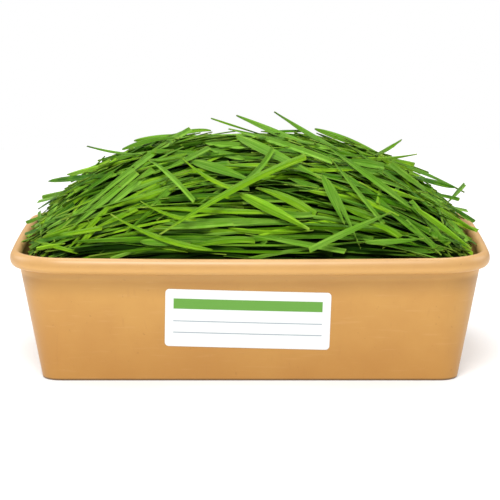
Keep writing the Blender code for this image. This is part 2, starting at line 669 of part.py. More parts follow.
def pile_heights(field, blades):
    """Heights on the pile's coarse grid: the laid blades' surface, kept clear below the named ones."""
    count_x = int(2 * FIELD_HALF[0] / PILE_CELL)
    count_y = int(2 * FIELD_HALF[1] / PILE_CELL)
    x = (np.arange(count_x + 1) - count_x / 2) * PILE_CELL
    y = (np.arange(count_y + 1) - count_y / 2) * PILE_CELL
    grid_x, grid_y = np.meshgrid(x, y)
    row, column = field.cells(grid_x, grid_y)
    nearby = [field.soft[row + r, column + c] for r in (-1, 0, 1) for c in (-1, 0, 1)]
    heights = np.mean(nearby, 0) + PILE_SWELL
    for _ in range(PILE_PASSES):
        for blade in blades:
            points = blade_points(blade, ACROSS).reshape(-1, 3)
            place_x = points[:, 0] / PILE_CELL + count_x / 2
            place_y = points[:, 1] / PILE_CELL + count_y / 2
            column = place_x.astype(int)
            row = place_y.astype(int)
            corners = [heights[row + r, column + c] for r in (0, 1) for c in (0, 1)]
            part_x = place_x - column
            part_y = place_y - row
            rise_low = corners[0] + part_x * (corners[1] - corners[0]) + part_y * (corners[2] - corners[0])
            rise_high = (corners[3] + (1 - part_x) * (corners[2] - corners[3])
                         + (1 - part_y) * (corners[1] - corners[3]))
            surface = np.maximum(rise_low, rise_high)
            excess = np.maximum(surface - (points[:, 2] - BLADE_THICK / 2 - 2 * GAP), 0)
            drop = np.zeros_like(heights)
            for r in (0, 1):
                for c in (0, 1):
                    np.maximum.at(drop, (row + r, column + c), excess)
            heights -= drop
    return grid_x, grid_y, heights


def make_pile(collection, cutters, material, field, blades):
    """The lower blades as one solid: their surface on a grid, cut to the inside of the tub."""
    grid_x, grid_y, heights = pile_heights(field, blades)
    rows, columns = heights.shape
    builder = bmesh.new()
    bmesh.ops.create_grid(builder, x_segments=columns - 1, y_segments=rows - 1, size=0.5)
    for vert in builder.verts:
        column = round((vert.co.x + 0.5) * (columns - 1))
        row = round((vert.co.y + 0.5) * (rows - 1))
        vert.co = (grid_x[row, column], grid_y[row, column], heights[row, column])
    border = [edge for edge in builder.edges if edge.is_boundary]
    skirt = bmesh.ops.extrude_edge_only(builder, edges=border)
    lowest = [part for part in skirt["geom"] if isinstance(part, bmesh.types.BMVert)]
    for vert in lowest:
        vert.co.z = BELOW_FLOOR
    bmesh.ops.holes_fill(builder, edges=[edge for edge in builder.edges if edge.is_boundary])
    bmesh.ops.recalc_face_normals(builder, faces=builder.faces)
    pile = finish("blade_pile", builder, collection, material)

    builder = bmesh.new()
    inside = BOARD + 2 * GAP
    levels = [(wall_inset(z) + inside, z) for z in (FLOOR_TOP + GAP, UNDER_ROLL)]
    levels.append((wall_inset(UNDER_ROLL) + inside, ABOVE_ALL))
    rings = [add_ring(builder, tub_ring(inset, z)) for inset, z in levels]
    skin(builder, rings)
    builder.faces.new(rings[0][::-1])
    builder.faces.new(rings[-1])
    hollow = finish("tub_hollow", builder, cutters, material)
    hollow.hide_render = True
    hollow.display_type = "WIRE"
    cut = pile.modifiers.new("inside the tub", "BOOLEAN")
    cut.operation = "INTERSECT"
    cut.object = hollow
    return pile


def make_blade(name, blade, collection, material):
    """One blade as a thin folded strip with a slanted cut end."""
    across = (-1, 0, 1)
    rows = blade_points(blade, across)
    stops = np.linspace(0, 1, BLADE_SPANS + 1)
    run = np.stack([np.cos(blade.turned), np.sin(blade.turned), np.gradient(blade.z, blade.along)], 1)
    slant = [blade.slant[0], 0 if blade.tipped else blade.slant[1]]
    builder = bmesh.new()
    bmesh.ops.create_grid(builder, x_segments=BLADE_SPANS, y_segments=2, size=0.5)
    for vert in builder.verts:
        stop = stops[round((vert.co.x + 0.5) * BLADE_SPANS)]
        row = rows[round((vert.co.y + 0.5) * 2)]
        place = [np.interp(stop, blade.share, row[:, axis]) for axis in range(3)]
        if stop in (0, 1):
            end = -1 if stop else 0
            inward = -1 if stop else 1
            cut = (vert.co.y * slant[end] + abs(slant[end]) / 2) * blade.width / 2
            place = np.array(place) + run[end] * cut * inward
        vert.co = place
    strip = finish(name, builder, collection, material)
    solidify(strip, BLADE_THICK, 0)
    return strip


def main():
    clear_scene()
    tray = bpy.data.collections.new("wheatgrass_tray")
    cutters = bpy.data.collections.new("cutters")
    for collection in (tray, cutters):
        bpy.context.scene.collection.children.link(collection)
    kraft = principled("kraft_board", (0.62, 0.37, 0.16), 0.75)
    paper = principled("label_paper", (0.90, 0.91, 0.90), 0.45)
    under_grass = principled("pile_green", (0.05, 0.17, 0.01), 0.6)
    grass = [principled("blade_green_" + str(tone + 1), (0.10 + 0.04 * tone, 0.30 + 0.05 * tone, 0.02), 0.5)
             for tone in range(3)]
    make_tub_wall(tray, kraft)
    make_tub_floor(tray, kraft)
    make_label(tray, paper)
    rng = np.random.default_rng(SEED)
    field = Field()
    _, named = lay_heap(field, rng)
    make_pile(tray, cutters, under_grass, field, named)
    for number, blade in enumerate(named, 1):
        make_blade(f"blade_{number:02d}", blade, tray, grass[number % 3])


main()
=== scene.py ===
"""Looks for a kraft-paper tub heaped with cut wheatgrass blades."""
import math
from types import SimpleNamespace

import bmesh
import bpy
import numpy as np
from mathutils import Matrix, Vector


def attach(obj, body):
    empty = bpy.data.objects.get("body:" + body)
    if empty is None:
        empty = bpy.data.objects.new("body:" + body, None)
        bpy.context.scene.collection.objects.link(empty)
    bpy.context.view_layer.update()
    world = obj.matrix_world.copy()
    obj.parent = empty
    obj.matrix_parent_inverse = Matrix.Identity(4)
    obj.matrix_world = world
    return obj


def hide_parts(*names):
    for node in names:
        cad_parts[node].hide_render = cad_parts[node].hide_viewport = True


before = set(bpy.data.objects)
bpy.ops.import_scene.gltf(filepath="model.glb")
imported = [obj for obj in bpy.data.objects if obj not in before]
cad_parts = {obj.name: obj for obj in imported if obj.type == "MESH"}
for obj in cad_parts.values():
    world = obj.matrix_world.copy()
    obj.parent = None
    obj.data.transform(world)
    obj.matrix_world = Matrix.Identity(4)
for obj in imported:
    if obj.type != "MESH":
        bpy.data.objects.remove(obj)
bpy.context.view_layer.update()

# ---- sizes, in metres

# Tub
RIM_HALF_X = 0.0865
RIM_HALF_Y = 0.06
RIM_CORNER = 0.0216
TUB_HEIGHT = 0.0458
BOARD = 0.0005
BASE_INSET = 0.0121
LIP = 0.0029
BASE_CORNER = 0.0068
ROLL_HALF_WIDTH = 0.002
ROLL_HALF_HEIGHT = 0.0028
BOW_X = 0.0005
BOW_Y = 0.0026
FOOT_WIDTH = 0.0021
FLANGE_TOP = 0.0052
FLOOR_TOP = 0.0065
UNDER_ROLL = TUB_HEIGHT - 0.0063
GAP = 0.0003
SIDE_STEPS = 12
CORNER_STEPS = 14
OUTLINE_ROUNDS = 4
# Heights of the rings that the two sheets are drawn through
FLANGE_LEVELS = (FLANGE_TOP, 0.003, 0.001, 0.0004)
WALL_LEVELS = (0.0004, 0.001, 0.005, 0.012, 0.019, 0.026, 0.033, TUB_HEIGHT - 0.0075, UNDER_ROLL)
SKIRT_LEVELS = (0.001, 0.0035, FLOOR_TOP - 0.0008)
FLOOR_BENDS = (0.0005, 0.006)
# How far in from the foot's sides it turns under, and how high it is there
FOOT_TURNS = ((0.0003, 0.0001), (0.0006, 0))
ROLL_DEGREES = range(203, -121, -17)
BOARD_CREASE = math.radians(50)
THIN_CREASE = math.radians(40)

# Lap of the sidewall sheet
SEAM_PLACE = 0.012
SEAM_WIDTH = 0.009
SEAM_FOOT = 0.0014
SEAM_THICK = 0.0003
SEAM_STRIPS = 6

# Label
LABEL_SIZE = (0.0584, 0.0214)
LABEL_CORNER = 0.0014
LABEL_CENTRE = (-0.0008, 0.0233)
LABEL_TILT = math.radians(-1.5)
LABEL_THICK = 0.00012
LABEL_STRIPS = 12
LABEL_GAP = 0.00005
# Low edge, high edge and colour of each printed bar, by the label's height
LABEL_BARS = ((0.66, 0.84, "5f9a33"), (0.44, 0.455, "8b98a3"), (0.24, 0.255, "8b98a3"))
LABEL_BAR_ENDS = (0.05, 0.95)
LABEL_BAR_SOFT = 0.002

# Heap
HEAP_HALF_X = 0.083
HEAP_HALF_Y = 0.0575
HEAP_EDGE = 0.044
HEAP_RISE = 0.0378
HEAP_SQUARENESS = (3.2, 2.1)
HEAP_SKIN = 0.0095
CELL = 0.001
HARD_CELL = 0.0005
FIELD_HALF = (0.09, 0.064)

# Core
CORE_HALF = (0.0795, 0.053)
CORE_GRID = (84, 58)
CORE_ROUNDING = 0.35
CORE_DEPTH = 0.011
CORE_RIPPLE = 0.0012
CORE_WAVES = ((900, 300), (-250, 1100))
CORE_FOOT = 0.0072
CORE_TAPER = (0.9, 0.87)

# Blades
SEED = 11
LOWER_BLADES = 1200
BACK_BLADES = 10
NAMED_BLADES = 56
BLADE_THICK = 0.00035
# Where a blade is felt across its width
ACROSS = np.linspace(-1, 1, 11)
# How blades vary: least and most (lengths also the likeliest), or the spread of a normal draw
BLADE_LENGTHS = (0.036, 0.064, 0.094)
BLADE_WIDTHS = (0.0013, 0.0029)
POINTED_SHARE = 0.75
FOLDS = (-0.35, 0.4)
SLANTS = (-0.7, 0.7)
DROOPS = (0.4, 1.0)
LEANS = (0.6, 1.0)
TWIST = math.radians(14)
ROLL = math.radians(30)
SEEN_ROLL = math.radians(6)
SWAY = 0.06
SIDE_BEND = 1.6
OVER_SHARE = 0.15
SPREADS = (0.2, 0.5, 1.0)
SPREAD_SHARES = (0.5, 0.35, 0.15)
EDGEWARD = 0.7
SAG_UP = 0.6
# A blade's outline: its stalk, where it is widest, where it tapers and how blunt a cut end is
STALK = 0.26
WIDE_FROM = 0.65
SWELL_POWER = 1.6
TAPER_FROM = 0.66
POINT = 0.97
CUT_LOSS = 0.15
# How blades are laid: how limp they are, places tried, shifts to fit, and how soft the pile is
LIMP_BELOW = 9.0
LIMP_ON_TOP = 8.0
PLACES_TRIED = 14
TOP_PLACES_TRIED = 60
SLIDES = (-0.007, -0.006, -0.005, -0.004, -0.003, -0.002, -0.001, 0, 0.002, 0.004, 0.008, 0.012)
TILTS = np.linspace(-0.002, 0.002, 5)
BENDS = np.linspace(-0.003, 0.003, 5)
SOFT_SHARE = 0.88
LAYER = 0.00112
STICK_OUT = 0.0019
# Half length, half width and corner radius of the places that blades may reach
INSIDE_RIM = (RIM_HALF_X - 0.0052, RIM_HALF_Y - 0.0052, 0.0165)
OVER_SIDES = (RIM_HALF_X - 0.001, RIM_HALF_Y - 0.0052, 0.018)
# How the blades of TOP_BLADES are brought from the upright middle plane to the heap
VIEWPOINT = (0.0, -0.8695, 0.1907)
VIEW_DIP = math.radians(10)
FACING_SHARE = 0.5
SEEN_WIDTH = 0.86
OVER_FROM = 78
ON_HEAP = 0.003
NUDGE = 0.002
SLIDE_COST = 0.13
DEPTH_BOW = 0.003
LINE_STEPS = 200
# The blades on top, undermost first, as they show from VIEWPOINT on the upright plane through
# the middle of the tub, in millimetres: stem end across and up, far end across and up, bow,
# width, fold against the width, and 1 for a pointed far end or 0 for a cut one. The last of
# them are named, and those before them are joined in the pile
TOP_BLADES = (
    (-76, 52, -83.4, 49.3, 0, 2.1, 0.3, 0), (-72, 48.8, -84, 45.2, 0, 2, -0.2, 0),
    (-64, 44.5, -82.5, 41.6, 0.3, 2.2, 0.2, 1), (-69, 41.5, -80, 39.5, 0, 2, -0.2, 0),
    (-66, 53, -81.5, 47.5, 0.4, 2.2, 0.2, 1), (-68, 60, -79, 57.2, 0, 2.2, 0.2, 0),
    (-60, 62, -77.5, 59, 0.4, 2.4, -0.2, 0), (72, 56.5, 83.7, 49.7, 0.3, 2.2, 0.2, 0),
    (66, 55.8, 81, 53.8, 0.3, 2.2, 0.2, 0), (69, 42.7, 83.5, 42.2, 0, 1.9, 0.2, 1),
    (74, 50.5, 85, 46.4, 0, 2.2, -0.2, 0), (76, 46, 84.5, 41.2, 0, 2, 0.3, 0),
    (62, 60.5, 78, 58, 0.5, 2.2, 0.3, 0), (-62.5, 37.8, -38, 40.5, 0, 2.8, 0.2, 0),
    (-67, 38.4, -57, 47.8, 0, 2.4, -0.25, 0), (-77.8, 47.8, -65.3, 56.6, 0, 2.4, 0.2, 0),
    (-74, 51.6, -59.7, 61.6, 0, 2.6, -0.2, 0), (-65.3, 57.9, -51, 68.5, 0, 2.6, 0.25, 0),
    (-70, 65.4, -52, 73, 0, 2.6, -0.2, 0), (-35.5, 39.8, -31.8, 36.8, 0, 1.8, -0.3, 0),
    (-47.5, 44.5, -33, 57, 0, 2.2, -0.25, 0), (-40, 59.8, -30.8, 65, 0, 2, -0.25, 0),
    (-16.5, 77.8, -2, 73.2, -0.3, 3, 0.25, 1), (-38, 73, -20, 73.2, 0, 3, 0.2, 0),
    (-21, 48.5, 14, 49.5, 0, 2.6, 0.25, 1), (28, 65, 55.5, 51.6, 0, 2.2, -0.25, 0),
    (38, 62, 63.5, 53.2, 0.4, 3, -0.2, 0), (26, 67.4, 34.3, 66.4, 0, 2.6, -0.2, 0),
    (50.5, 54, 69.7, 39.5, 0.8, 3, 0.25, 0), (55, 40.5, 72.8, 39.6, -1.2, 2.6, 0.2, 1),
    (4.4, 36.5, 22.4, 40.3, 0, 2.2, -0.25, 1), (60, 67, 76.5, 62.6, 0, 3, -0.2, 1),
    (50, 74, 61.3, 71.2, 0, 2.6, -0.2, 0), (66, 62, 82, 50.5, 0, 2.2, 0.2, 0),
    (71, 54, 81.5, 42.2, 0, 2.4, 0.25, 0), (4, 83.6, 20.5, 83.9, 0, 2, -0.2, 0),
    (14, 81, 30, 77, 0, 2.4, 0.2, 1), (-40, 74, -68, 67.5, 0, 3, -0.2, 1),
    (-45, 68, -75, 65, 0, 2.9, 0.24, 1), (-81, 42.5, -64, 38, 0, 1.9, -0.24, 0),
    (-78, 44, -78.5, 53.5, 0, 2.2, 0.4, 0), (31, 70.5, 49.5, 68, 0, 3, 0.2, 0),
    (28, 46.5, 46, 43, 0, 2.7, 0.2, 0), (33, 56, 47, 51, 0, 3.6, -0.2, 0),
    (24, 46.5, -8, 47.3, -1.2, 2, -0.2, 1), (0, 37.5, 6.5, 43, 0, 2.7, 0.4, 0),
    (70, 38.5, 58, 50, 0, 2.6, 0.3, 0), (65, 57.5, 45, 64, 0, 3, -0.2, 1),
    (-22, 64.8, 0, 62, 0, 2.4, 0.24, 0), (14, 66.3, 26, 62, 0, 3, 0.24, 0),
    (-20, 58.5, -2, 59.5, 0, 2.2, -0.24, 0), (-47, 72, -79, 54.5, 0.6, 2.5, 0.2, 1),
    (-55, 73, -34, 76, 0, 3, -0.24, 0), (-79, 44, -72, 56.5, 0, 2.6, 0.4, 0),
    (-84, 42.5, -55, 47.5, 0, 2.6, -0.3, 0), (-69, 38.5, -51, 57, 0, 2.4, -0.2, 0),
    (-57, 52, -36, 69.5, 0, 3.4, 0.24, 0), (-54, 54.5, -27.5, 62.5, 0, 3.2, -0.24, 0),
    (-37, 55.5, -27.5, 63.8, 0, 2.8, 0.2, 1), (-68, 46, -42, 68, 0, 3.3, 0.3, 0),
    (-71, 47, -22, 85, 0.6, 3.1, 0.24, 0), (-58, 47.5, -42, 55, 0, 2.6, -0.3, 0),
    (-41, 55, 8, 53, 0, 2.6, -0.2, 1), (-24, 40.5, 2, 44, 0, 3.2, -0.2, 0),
    (-22, 42, -41, 42.5, 0, 3.2, 0.2, 1), (-36, 46.5, -6, 48.8, 0, 3.1, 0.4, 0),
    (-41, 56.5, -20, 49.5, 0, 1.7, -0.2, 0), (-52, 52, -14, 38.5, -0.8, 2.4, -0.3, 1),
    (2, 64.5, -22, 72.5, 0.5, 4.4, 0.24, 1), (-36, 67.5, -15, 77.5, -0.4, 2.5, 0.2, 0),
    (-26, 80, -47.5, 78, 0.3, 3.5, -0.2, 1), (-15, 81, -43, 79.8, 1, 3.5, -0.2, 1),
    (-32, 79, -14.5, 84.8, -0.3, 2.5, -0.2, 1), (-19, 79.3, 3, 77.5, 0, 4, 0.36, 0),
    (27, 66.5, -5, 80.5, 0.5, 4.4, 0.2, 1), (-8, 84.5, 31, 72, 0.8, 3.5, 0.36, 0),
    (-37.5, 73.5, -20.5, 58, 0, 2.5, 0.4, 0), (2, 63, 25, 54.5, 0, 4.2, -0.3, 0),
    (6, 53, 23.5, 52, 0, 2.9, 0.3, 0), (22.5, 46.3, -4, 60, 0.4, 4.4, -0.24, 1),
    (-25, 72.5, -6, 61.2, 0, 2.1, -0.3, 0), (-7, 60.5, 8.7, 75, 0, 2.7, 0.3, 0),
    (-34, 46.5, 20.8, 72, -0.8, 3.5, -0.34, 0), (-2, 44.8, 36, 38, 0, 2.7, 0.3, 0),
    (34, 73, 50, 70.3, 0, 4.6, 0.24, 0), (28, 78.5, 60, 55, 0.5, 2.8, 0.2, 1),
    (30, 73.8, 50, 49, 0, 2, 0.3, 0), (35.5, 48.5, 27, 67.5, 0, 3.4, 0.5, 1),
    (41.5, 37.5, 28.8, 66, 0.8, 2.5, 0.3, 1), (42, 50, 56.5, 44.5, 0, 2.8, -0.2, 0),
    (52.8, 53.5, 22, 39, 0.3, 3, 0.24, 0), (65, 43.5, 43, 42, -0.4, 2.6, 0.3, 1),
    (76, 38.5, 60, 57.5, 0, 2.5, 0.5, 0), (83, 39, 62, 54.5, 0.3, 2.8, -0.24, 1),
    (85, 45.5, 69, 55, 0.3, 2.2, -0.2, 1), (80, 50, 52, 71, 0.6, 3.2, 0.4, 0),
    (50, 74.5, 24, 85, 0.8, 4.3, -0.2, 1), (80, 61, 48, 73.5, 1.2, 3, 0.2, 1),
    (62, 75, 38, 73.5, -0.8, 2.2, -0.3, 1), (46, 73, 56, 80.6, 0, 2, -0.2, 0),
    (73, 56.5, 79.8, 64, 0, 2.4, 0.4, 0), (34, 75, 9, 91.4, -0.6, 2.5, 0.24, 1),
    (24, 78, -5, 88.8, 0.5, 3.3, 0.24, 1), (4, 82.5, -14.5, 88.5, 0, 1.4, -0.2, 1),
    (-40, 74.5, -60.5, 77.6, -0.8, 1.4, 0.2, 1),
)

# Modelled blades: where the flat ones are cut, from end to end and from side to side
ROUGH_STOPS = (0.035, 0.14, 0.28, 0.43, 0.58, 0.7, 0.8, 0.88, 0.95)
FINE_STOPS = (0.02, 0.07, 0.14, 0.22, 0.31, 0.4, 0.5, 0.59,
              0.67, 0.74, 0.8, 0.86, 0.91, 0.95, 0.98)
ROUGH_STRIPS = (0.0,)
FINE_STRIPS = (-0.25, 0.0, 0.25)
FLAT_THICK = 0.1
NEAR = 0.001
RIB_THICK = 0.0005
LOWER_PIECES = 4
# How tightly the two halves of a leaf furl towards the cut end, by the rib and by the margin
FURLS = (0.2, 1.0)
FURLED_SHARE = 0.3
FURL_POWER = 1.5
FURL_BY_RIB = 0.5
FURL_BY_MARGIN = 1.5

# Looks of the board and the label: heights between which painted light and shade change the
# board's colour
LOW_WALL_SHADE = (0.0, 0.034)
ROLL_CREST_HIGHLIGHT = (TUB_HEIGHT - 0.005, TUB_HEIGHT - 0.0006)
ROLL_UNDERSIDE_LIGHT = ((0.0399, 0.0405), (0.0414, 0.0434))
UNDER_LIP_LIGHT = ((0.0368, 0.0394), (0.0398, 0.0404))
BELOW_LIP_SHADOW = ((0.03, 0.036), (0.0364, 0.0384))
FOOT_SHADOW = (0.0003, 0.0011)
BOARD_BUMP = 0.00004
PAPER_BUMP = 0.00002

# Looks of the blades
STEM_PALENESS = (0.3, 1.0)
SHADE_DEPTH = 0.0024
# The middle and half width, front to back, of the strip where light reaches between the blades
RIDGE_LIT = (0.012, 0.018)
VEINS = 9
LEAF_CROWN = 3.2
LEAF_BUMP = 0.00009
CORE_BUMP = 0.0012
# From dark (0) to light (1), for the named blades of TOP_BLADES in their order
NAMED_TONES = (0.7, 0.75, 0.6, 0.7, 0.35, 0.5, 0.85, 0.8, 0.65, 0.45, 0.6, 0.25,
               0.35, 0.45, 0.85, 0.6, 0.8, 0.95, 0.55, 0.6, 0.65, 0.85, 0.7, 0.6,
               0.75, 0.45, 0.5, 0.7, 0.55, 0.7, 0.5, 0.7, 0.6, 0.65, 0.6, 0.5,
               0.6, 0.3, 0.45, 0.7, 0.4, 0.6, 0.5, 0.6, 0.8, 0.7)

# Camera and light
CAMERA_TILT = math.radians(80.103)
CAMERA_LENS = 169.9
FILL_STRENGTH = 0.32
FLOOR_RADIUS = 0.6
FLOOR_GLOW = 0.42
# Name, place, target, size and power of each lamp
LAMPS = (
    ("soft_box", (-0.15, -1.05, 1.15), (0, 0, 0.04), 0.6, 22.6),
    ("left_box", (-0.9, 0.25, 0.35), (0, 0, 0.03), 0.5, 2.6),
    ("right_box", (0.9, 0.25, 0.35), (0, 0, 0.03), 0.5, 2.2),
    ("top_box", (0.0, 0.55, 1.4), (0, 0.25, 0.0), 1.3, 16.0),
)


# ---- tub

def outline(half_x, half_y, corner, bow_x, bow_y):
    """A rounded rectangle, anticlockwise from the front middle, whose sides swell by their bow."""
    tilt_long = 0.0
    tilt_short = 0.0
    for _ in range(OUTLINE_ROUNDS):
        centre_x = half_x - bow_x - corner * math.cos(tilt_short)
        centre_y = half_y - bow_y - corner * math.cos(tilt_long)
        chord_x = centre_x + corner * math.sin(tilt_long)
        chord_y = centre_y + corner * math.sin(tilt_short)
        tilt_long = math.atan(2 * bow_y / chord_x)
        tilt_short = math.atan(2 * bow_x / chord_y)
    quarter = []
    for step in range(SIDE_STEPS):
        share = step / SIDE_STEPS
        quarter.append((chord_x * share, -half_y + bow_y * share ** 2))
    start = -math.pi / 2 + tilt_long
    for step in range(CORNER_STEPS + 1):
        angle = start + (-tilt_short - start) * step / CORNER_STEPS
        quarter.append((centre_x + corner * math.cos(angle), -centre_y + corner * math.sin(angle)))
    for step in range(1, SIDE_STEPS + 1):
        share = 1 - step / SIDE_STEPS
        quarter.append((half_x - bow_x * share ** 2, -chord_y * share))
    quarter = np.array(quarter)
    half = np.vstack([quarter, (quarter * (1, -1))[-2::-1]])
    return np.vstack([half, (half * (-1, 1))[-2:0:-1]])


def height_share(z):
    """The part of the way from the table to the middle of the roll."""
    return min(z / (TUB_HEIGHT - ROLL_HALF_HEIGHT), 1)


def wall_inset(z):
    """How far the wall's outer face lies inside the rim at a height."""
    return BASE_INSET + (LIP - BASE_INSET) * height_share(z)


def tub_ring(inset, z):
    """The outline at a height, a given distance inside the rim."""
    share = height_share(z)
    top_corner = RIM_CORNER - wall_inset(TUB_HEIGHT)
    corner = BASE_CORNER + (top_corner - BASE_CORNER) * share + wall_inset(z) - inset
    flat = outline(RIM_HALF_X - inset, RIM_HALF_Y - inset, corner, BOW_X * share, BOW_Y * share)
    return [(x, y, z) for x, y in flat]


def front_of_wall(x, z):
    """The depth of the front wall's outer face at a place."""
    chord = RIM_HALF_X - RIM_CORNER
    return -(RIM_HALF_Y - wall_inset(z)) + BOW_Y * height_share(z) * (x / chord) ** 2


# ---- heap

def heap_top(x, y):
    """The rounded height that the blades build up to."""
    along = np.clip(np.abs(x) / HEAP_HALF_X, 0, 1)
    across = np.clip(np.abs(y) / HEAP_HALF_Y, 0, 1)
    square_x, square_y = HEAP_SQUARENESS
    return HEAP_EDGE + HEAP_RISE * (1 - along ** square_x) * (1 - across ** square_y)


def outside_by(x, y, reach):
    """How far places lie outside a bowed, rounded rectangle; negative inside it."""
    half_x, half_y, corner = reach
    bow = BOW_Y * np.minimum((x / (RIM_HALF_X - RIM_CORNER)) ** 2, 1)
    over_x = np.abs(x) - (half_x - corner)
    over_y = np.abs(y) + bow - (half_y - corner)
    beyond = np.hypot(np.maximum(over_x, 0), np.maximum(over_y, 0))
    return beyond + np.minimum(np.maximum(over_x, over_y), 0) - corner


def raster(x, y, cell):
    """The row and column of places on a grid of square cells over the tub."""
    def nearest(place, half):
        return np.clip(np.rint((place + half) / cell).astype(int), 1, round(2 * half / cell) - 1)

    half_x, half_y = FIELD_HALF
    return nearest(y, half_y), nearest(x, half_x)


def raster_places(cell):
    """Where the cells of that grid are."""
    return np.meshgrid(*(np.linspace(-half, half, round(2 * half / cell) + 1)
                         for half in FIELD_HALF))


class Field:
    """Heights over the tub: the soft pile, and the hard rim and blades that nothing may cut."""

    def __init__(self):
        x, y = raster_places(CELL)
        self.soft = heap_top(x, y) - HEAP_SKIN
        x, y = raster_places(HARD_CELL)
        self.hard = np.where(outside_by(x, y, INSIDE_RIM) > 0, TUB_HEIGHT, 0)

    def cells(self, x, y):
        return raster(x, y, CELL)

    def lift(self, points, clearance):
        """How far a blade has to rise to rest on the soft pile and clear what is hard."""
        x, y, z = points[..., 0], points[..., 1], points[..., 2]
        soft = np.quantile(self.soft[self.cells(x, y)] - z, SOFT_SHARE)
        return max(soft, np.max(self.hard[raster(x, y, HARD_CELL)] - z)) + clearance

    def sink_in(self, points):
        """Raise the soft pile under a blade by no more than one loose layer."""
        place = self.cells(points[..., 0], points[..., 1])
        np.maximum.at(self.soft, place, np.minimum(points[..., 2], self.soft[place] + LAYER))

    def lie_on(self, points):
        """Mark a blade's upper face as hard, one cell wider all round."""
        row, column = raster(points[..., 0], points[..., 1], HARD_CELL)
        for shift_row in (-1, 0, 1):
            for shift_column in (-1, 0, 1):
                place = (row + shift_row, column + shift_column)
                np.maximum.at(self.hard, place, points[..., 2] + BLADE_THICK / 2)


def half_width(share, tipped):
    """A blade's half width against its widest, from the cut end (0) to the far end (1)."""
    widened = np.sin(np.minimum(share / WIDE_FROM, 1) * math.pi / 2) ** SWELL_POWER
    swell = STALK + (1 - STALK) * widened
    taper = np.clip((share - TAPER_FROM) / (1 - TAPER_FROM), 0, 1) ** 2
    return swell * (np.sqrt(1 - POINT * taper) if tipped else 1 - CUT_LOSS * share)


def pick_blade(rng, limpest):
    """Pick up a blade: its size, its fold and how it bends, twists and leans."""
    blade = SimpleNamespace()
    blade.tipped = rng.random() < POINTED_SHARE
    blade.length = rng.triangular(*BLADE_LENGTHS)
    blade.width = rng.uniform(*BLADE_WIDTHS)
    blade.fold = rng.uniform(*FOLDS)
    blade.slant = rng.uniform(*SLANTS, 2)
    blade.droop = rng.uniform(*DROOPS) * limpest
    blade.twist = rng.normal(0, TWIST)
    blade.lean = rng.uniform(*LEANS)
    blade.roll = rng.normal(0, ROLL)
    blade.heading = rng.normal(0, rng.choice(SPREADS, p=SPREAD_SHARES))
    blade.side_bend = rng.normal(0, SIDE_BEND)
    blade.reach = OVER_SIDES if rng.random() < OVER_SHARE else INSIDE_RIM
    blade.share = np.linspace(0, 1, int(blade.length / CELL) + 2)
    blade.along = (blade.share - 0.5) * blade.length
    blade.heading += math.pi * rng.integers(2)
    return blade


def place_blade(blade, rng):
    """Choose a place in plan; False where the blade would leave the tub."""
    blade.turned = blade.heading + rng.normal(0, SWAY) + blade.side_bend * blade.along
    step = blade.length / len(blade.along)
    x = np.cumsum(np.cos(blade.turned)) * step
    y = np.cumsum(np.sin(blade.turned)) * step
    room_x = blade.reach[0] - np.ptp(x) / 2
    room_y = blade.reach[1] - np.ptp(y) / 2
    draw = rng.uniform(-1, 1, 2)
    middle = np.sign(draw) * np.abs(draw) ** EDGEWARD * (max(room_x, 0), max(room_y, 0))
    blade.x = x - (x.max() + x.min()) / 2 + middle[0]
    blade.y = y - (y.max() + y.min()) / 2 + middle[1]
    return np.max(outside_by(blade.x, blade.y, blade.reach)) < -blade.width / 2


def blade_frame(blade):
    """A blade's middle line, and which way its side, its face and its length point on it."""
    slope = np.gradient(blade.z, blade.along)
    cos_turn, sin_turn = np.cos(blade.turned), np.sin(blade.turned)
    level = np.stack([-sin_turn, cos_turn, 0 * slope], 1)
    up = np.stack([-cos_turn * slope, -sin_turn * slope, 1 + 0 * slope], 1)
    up /= np.sqrt(1 + slope ** 2)[:, None]
    cos_roll, sin_roll = np.cos(blade.rolls)[:, None], np.sin(blade.rolls)[:, None]
    side = cos_roll * level + sin_roll * up
    face = cos_roll * up - sin_roll * level
    line = np.stack([blade.x, blade.y, blade.z], 1)
    return line, side, face, np.stack([cos_turn, sin_turn, slope], 1)


def blade_points(blade):
    """Points on the blade's middle surface, one row for each place across it."""
    line, side, face, _ = blade_frame(blade)
    reach = half_width(blade.share, blade.tipped) * blade.width / 2
    rows = []
    for place in ACROSS:
        rise = blade.fold * reach * (abs(place) - 0.5)
        rows.append(line + side * (reach * place)[:, None] + face * rise[:, None])
    return np.array(rows)


def seen_at(across, up, depth):
    """Where the line of sight to a place on the upright middle plane is at a depth."""
    share = 1 - depth / VIEWPOINT[1]
    return across * share, depth, VIEWPOINT[2] + (up - VIEWPOINT[2]) * share


def spot(across, up, reach):
    """The place on the heap that shows at a position, or else the ridge right below it."""
    x, depth, z = seen_at(across, up, np.arange(-FIELD_HALF[1], FIELD_HALF[1], CELL / 2))
    above = np.where(outside_by(x, depth, reach) < -ON_HEAP, z - heap_top(x, depth), math.inf)
    met = np.nonzero(above <= 0)[0]
    index = met[0] if len(met) else np.argmin(above)
    return np.array([x[index], depth[index], z[index]])


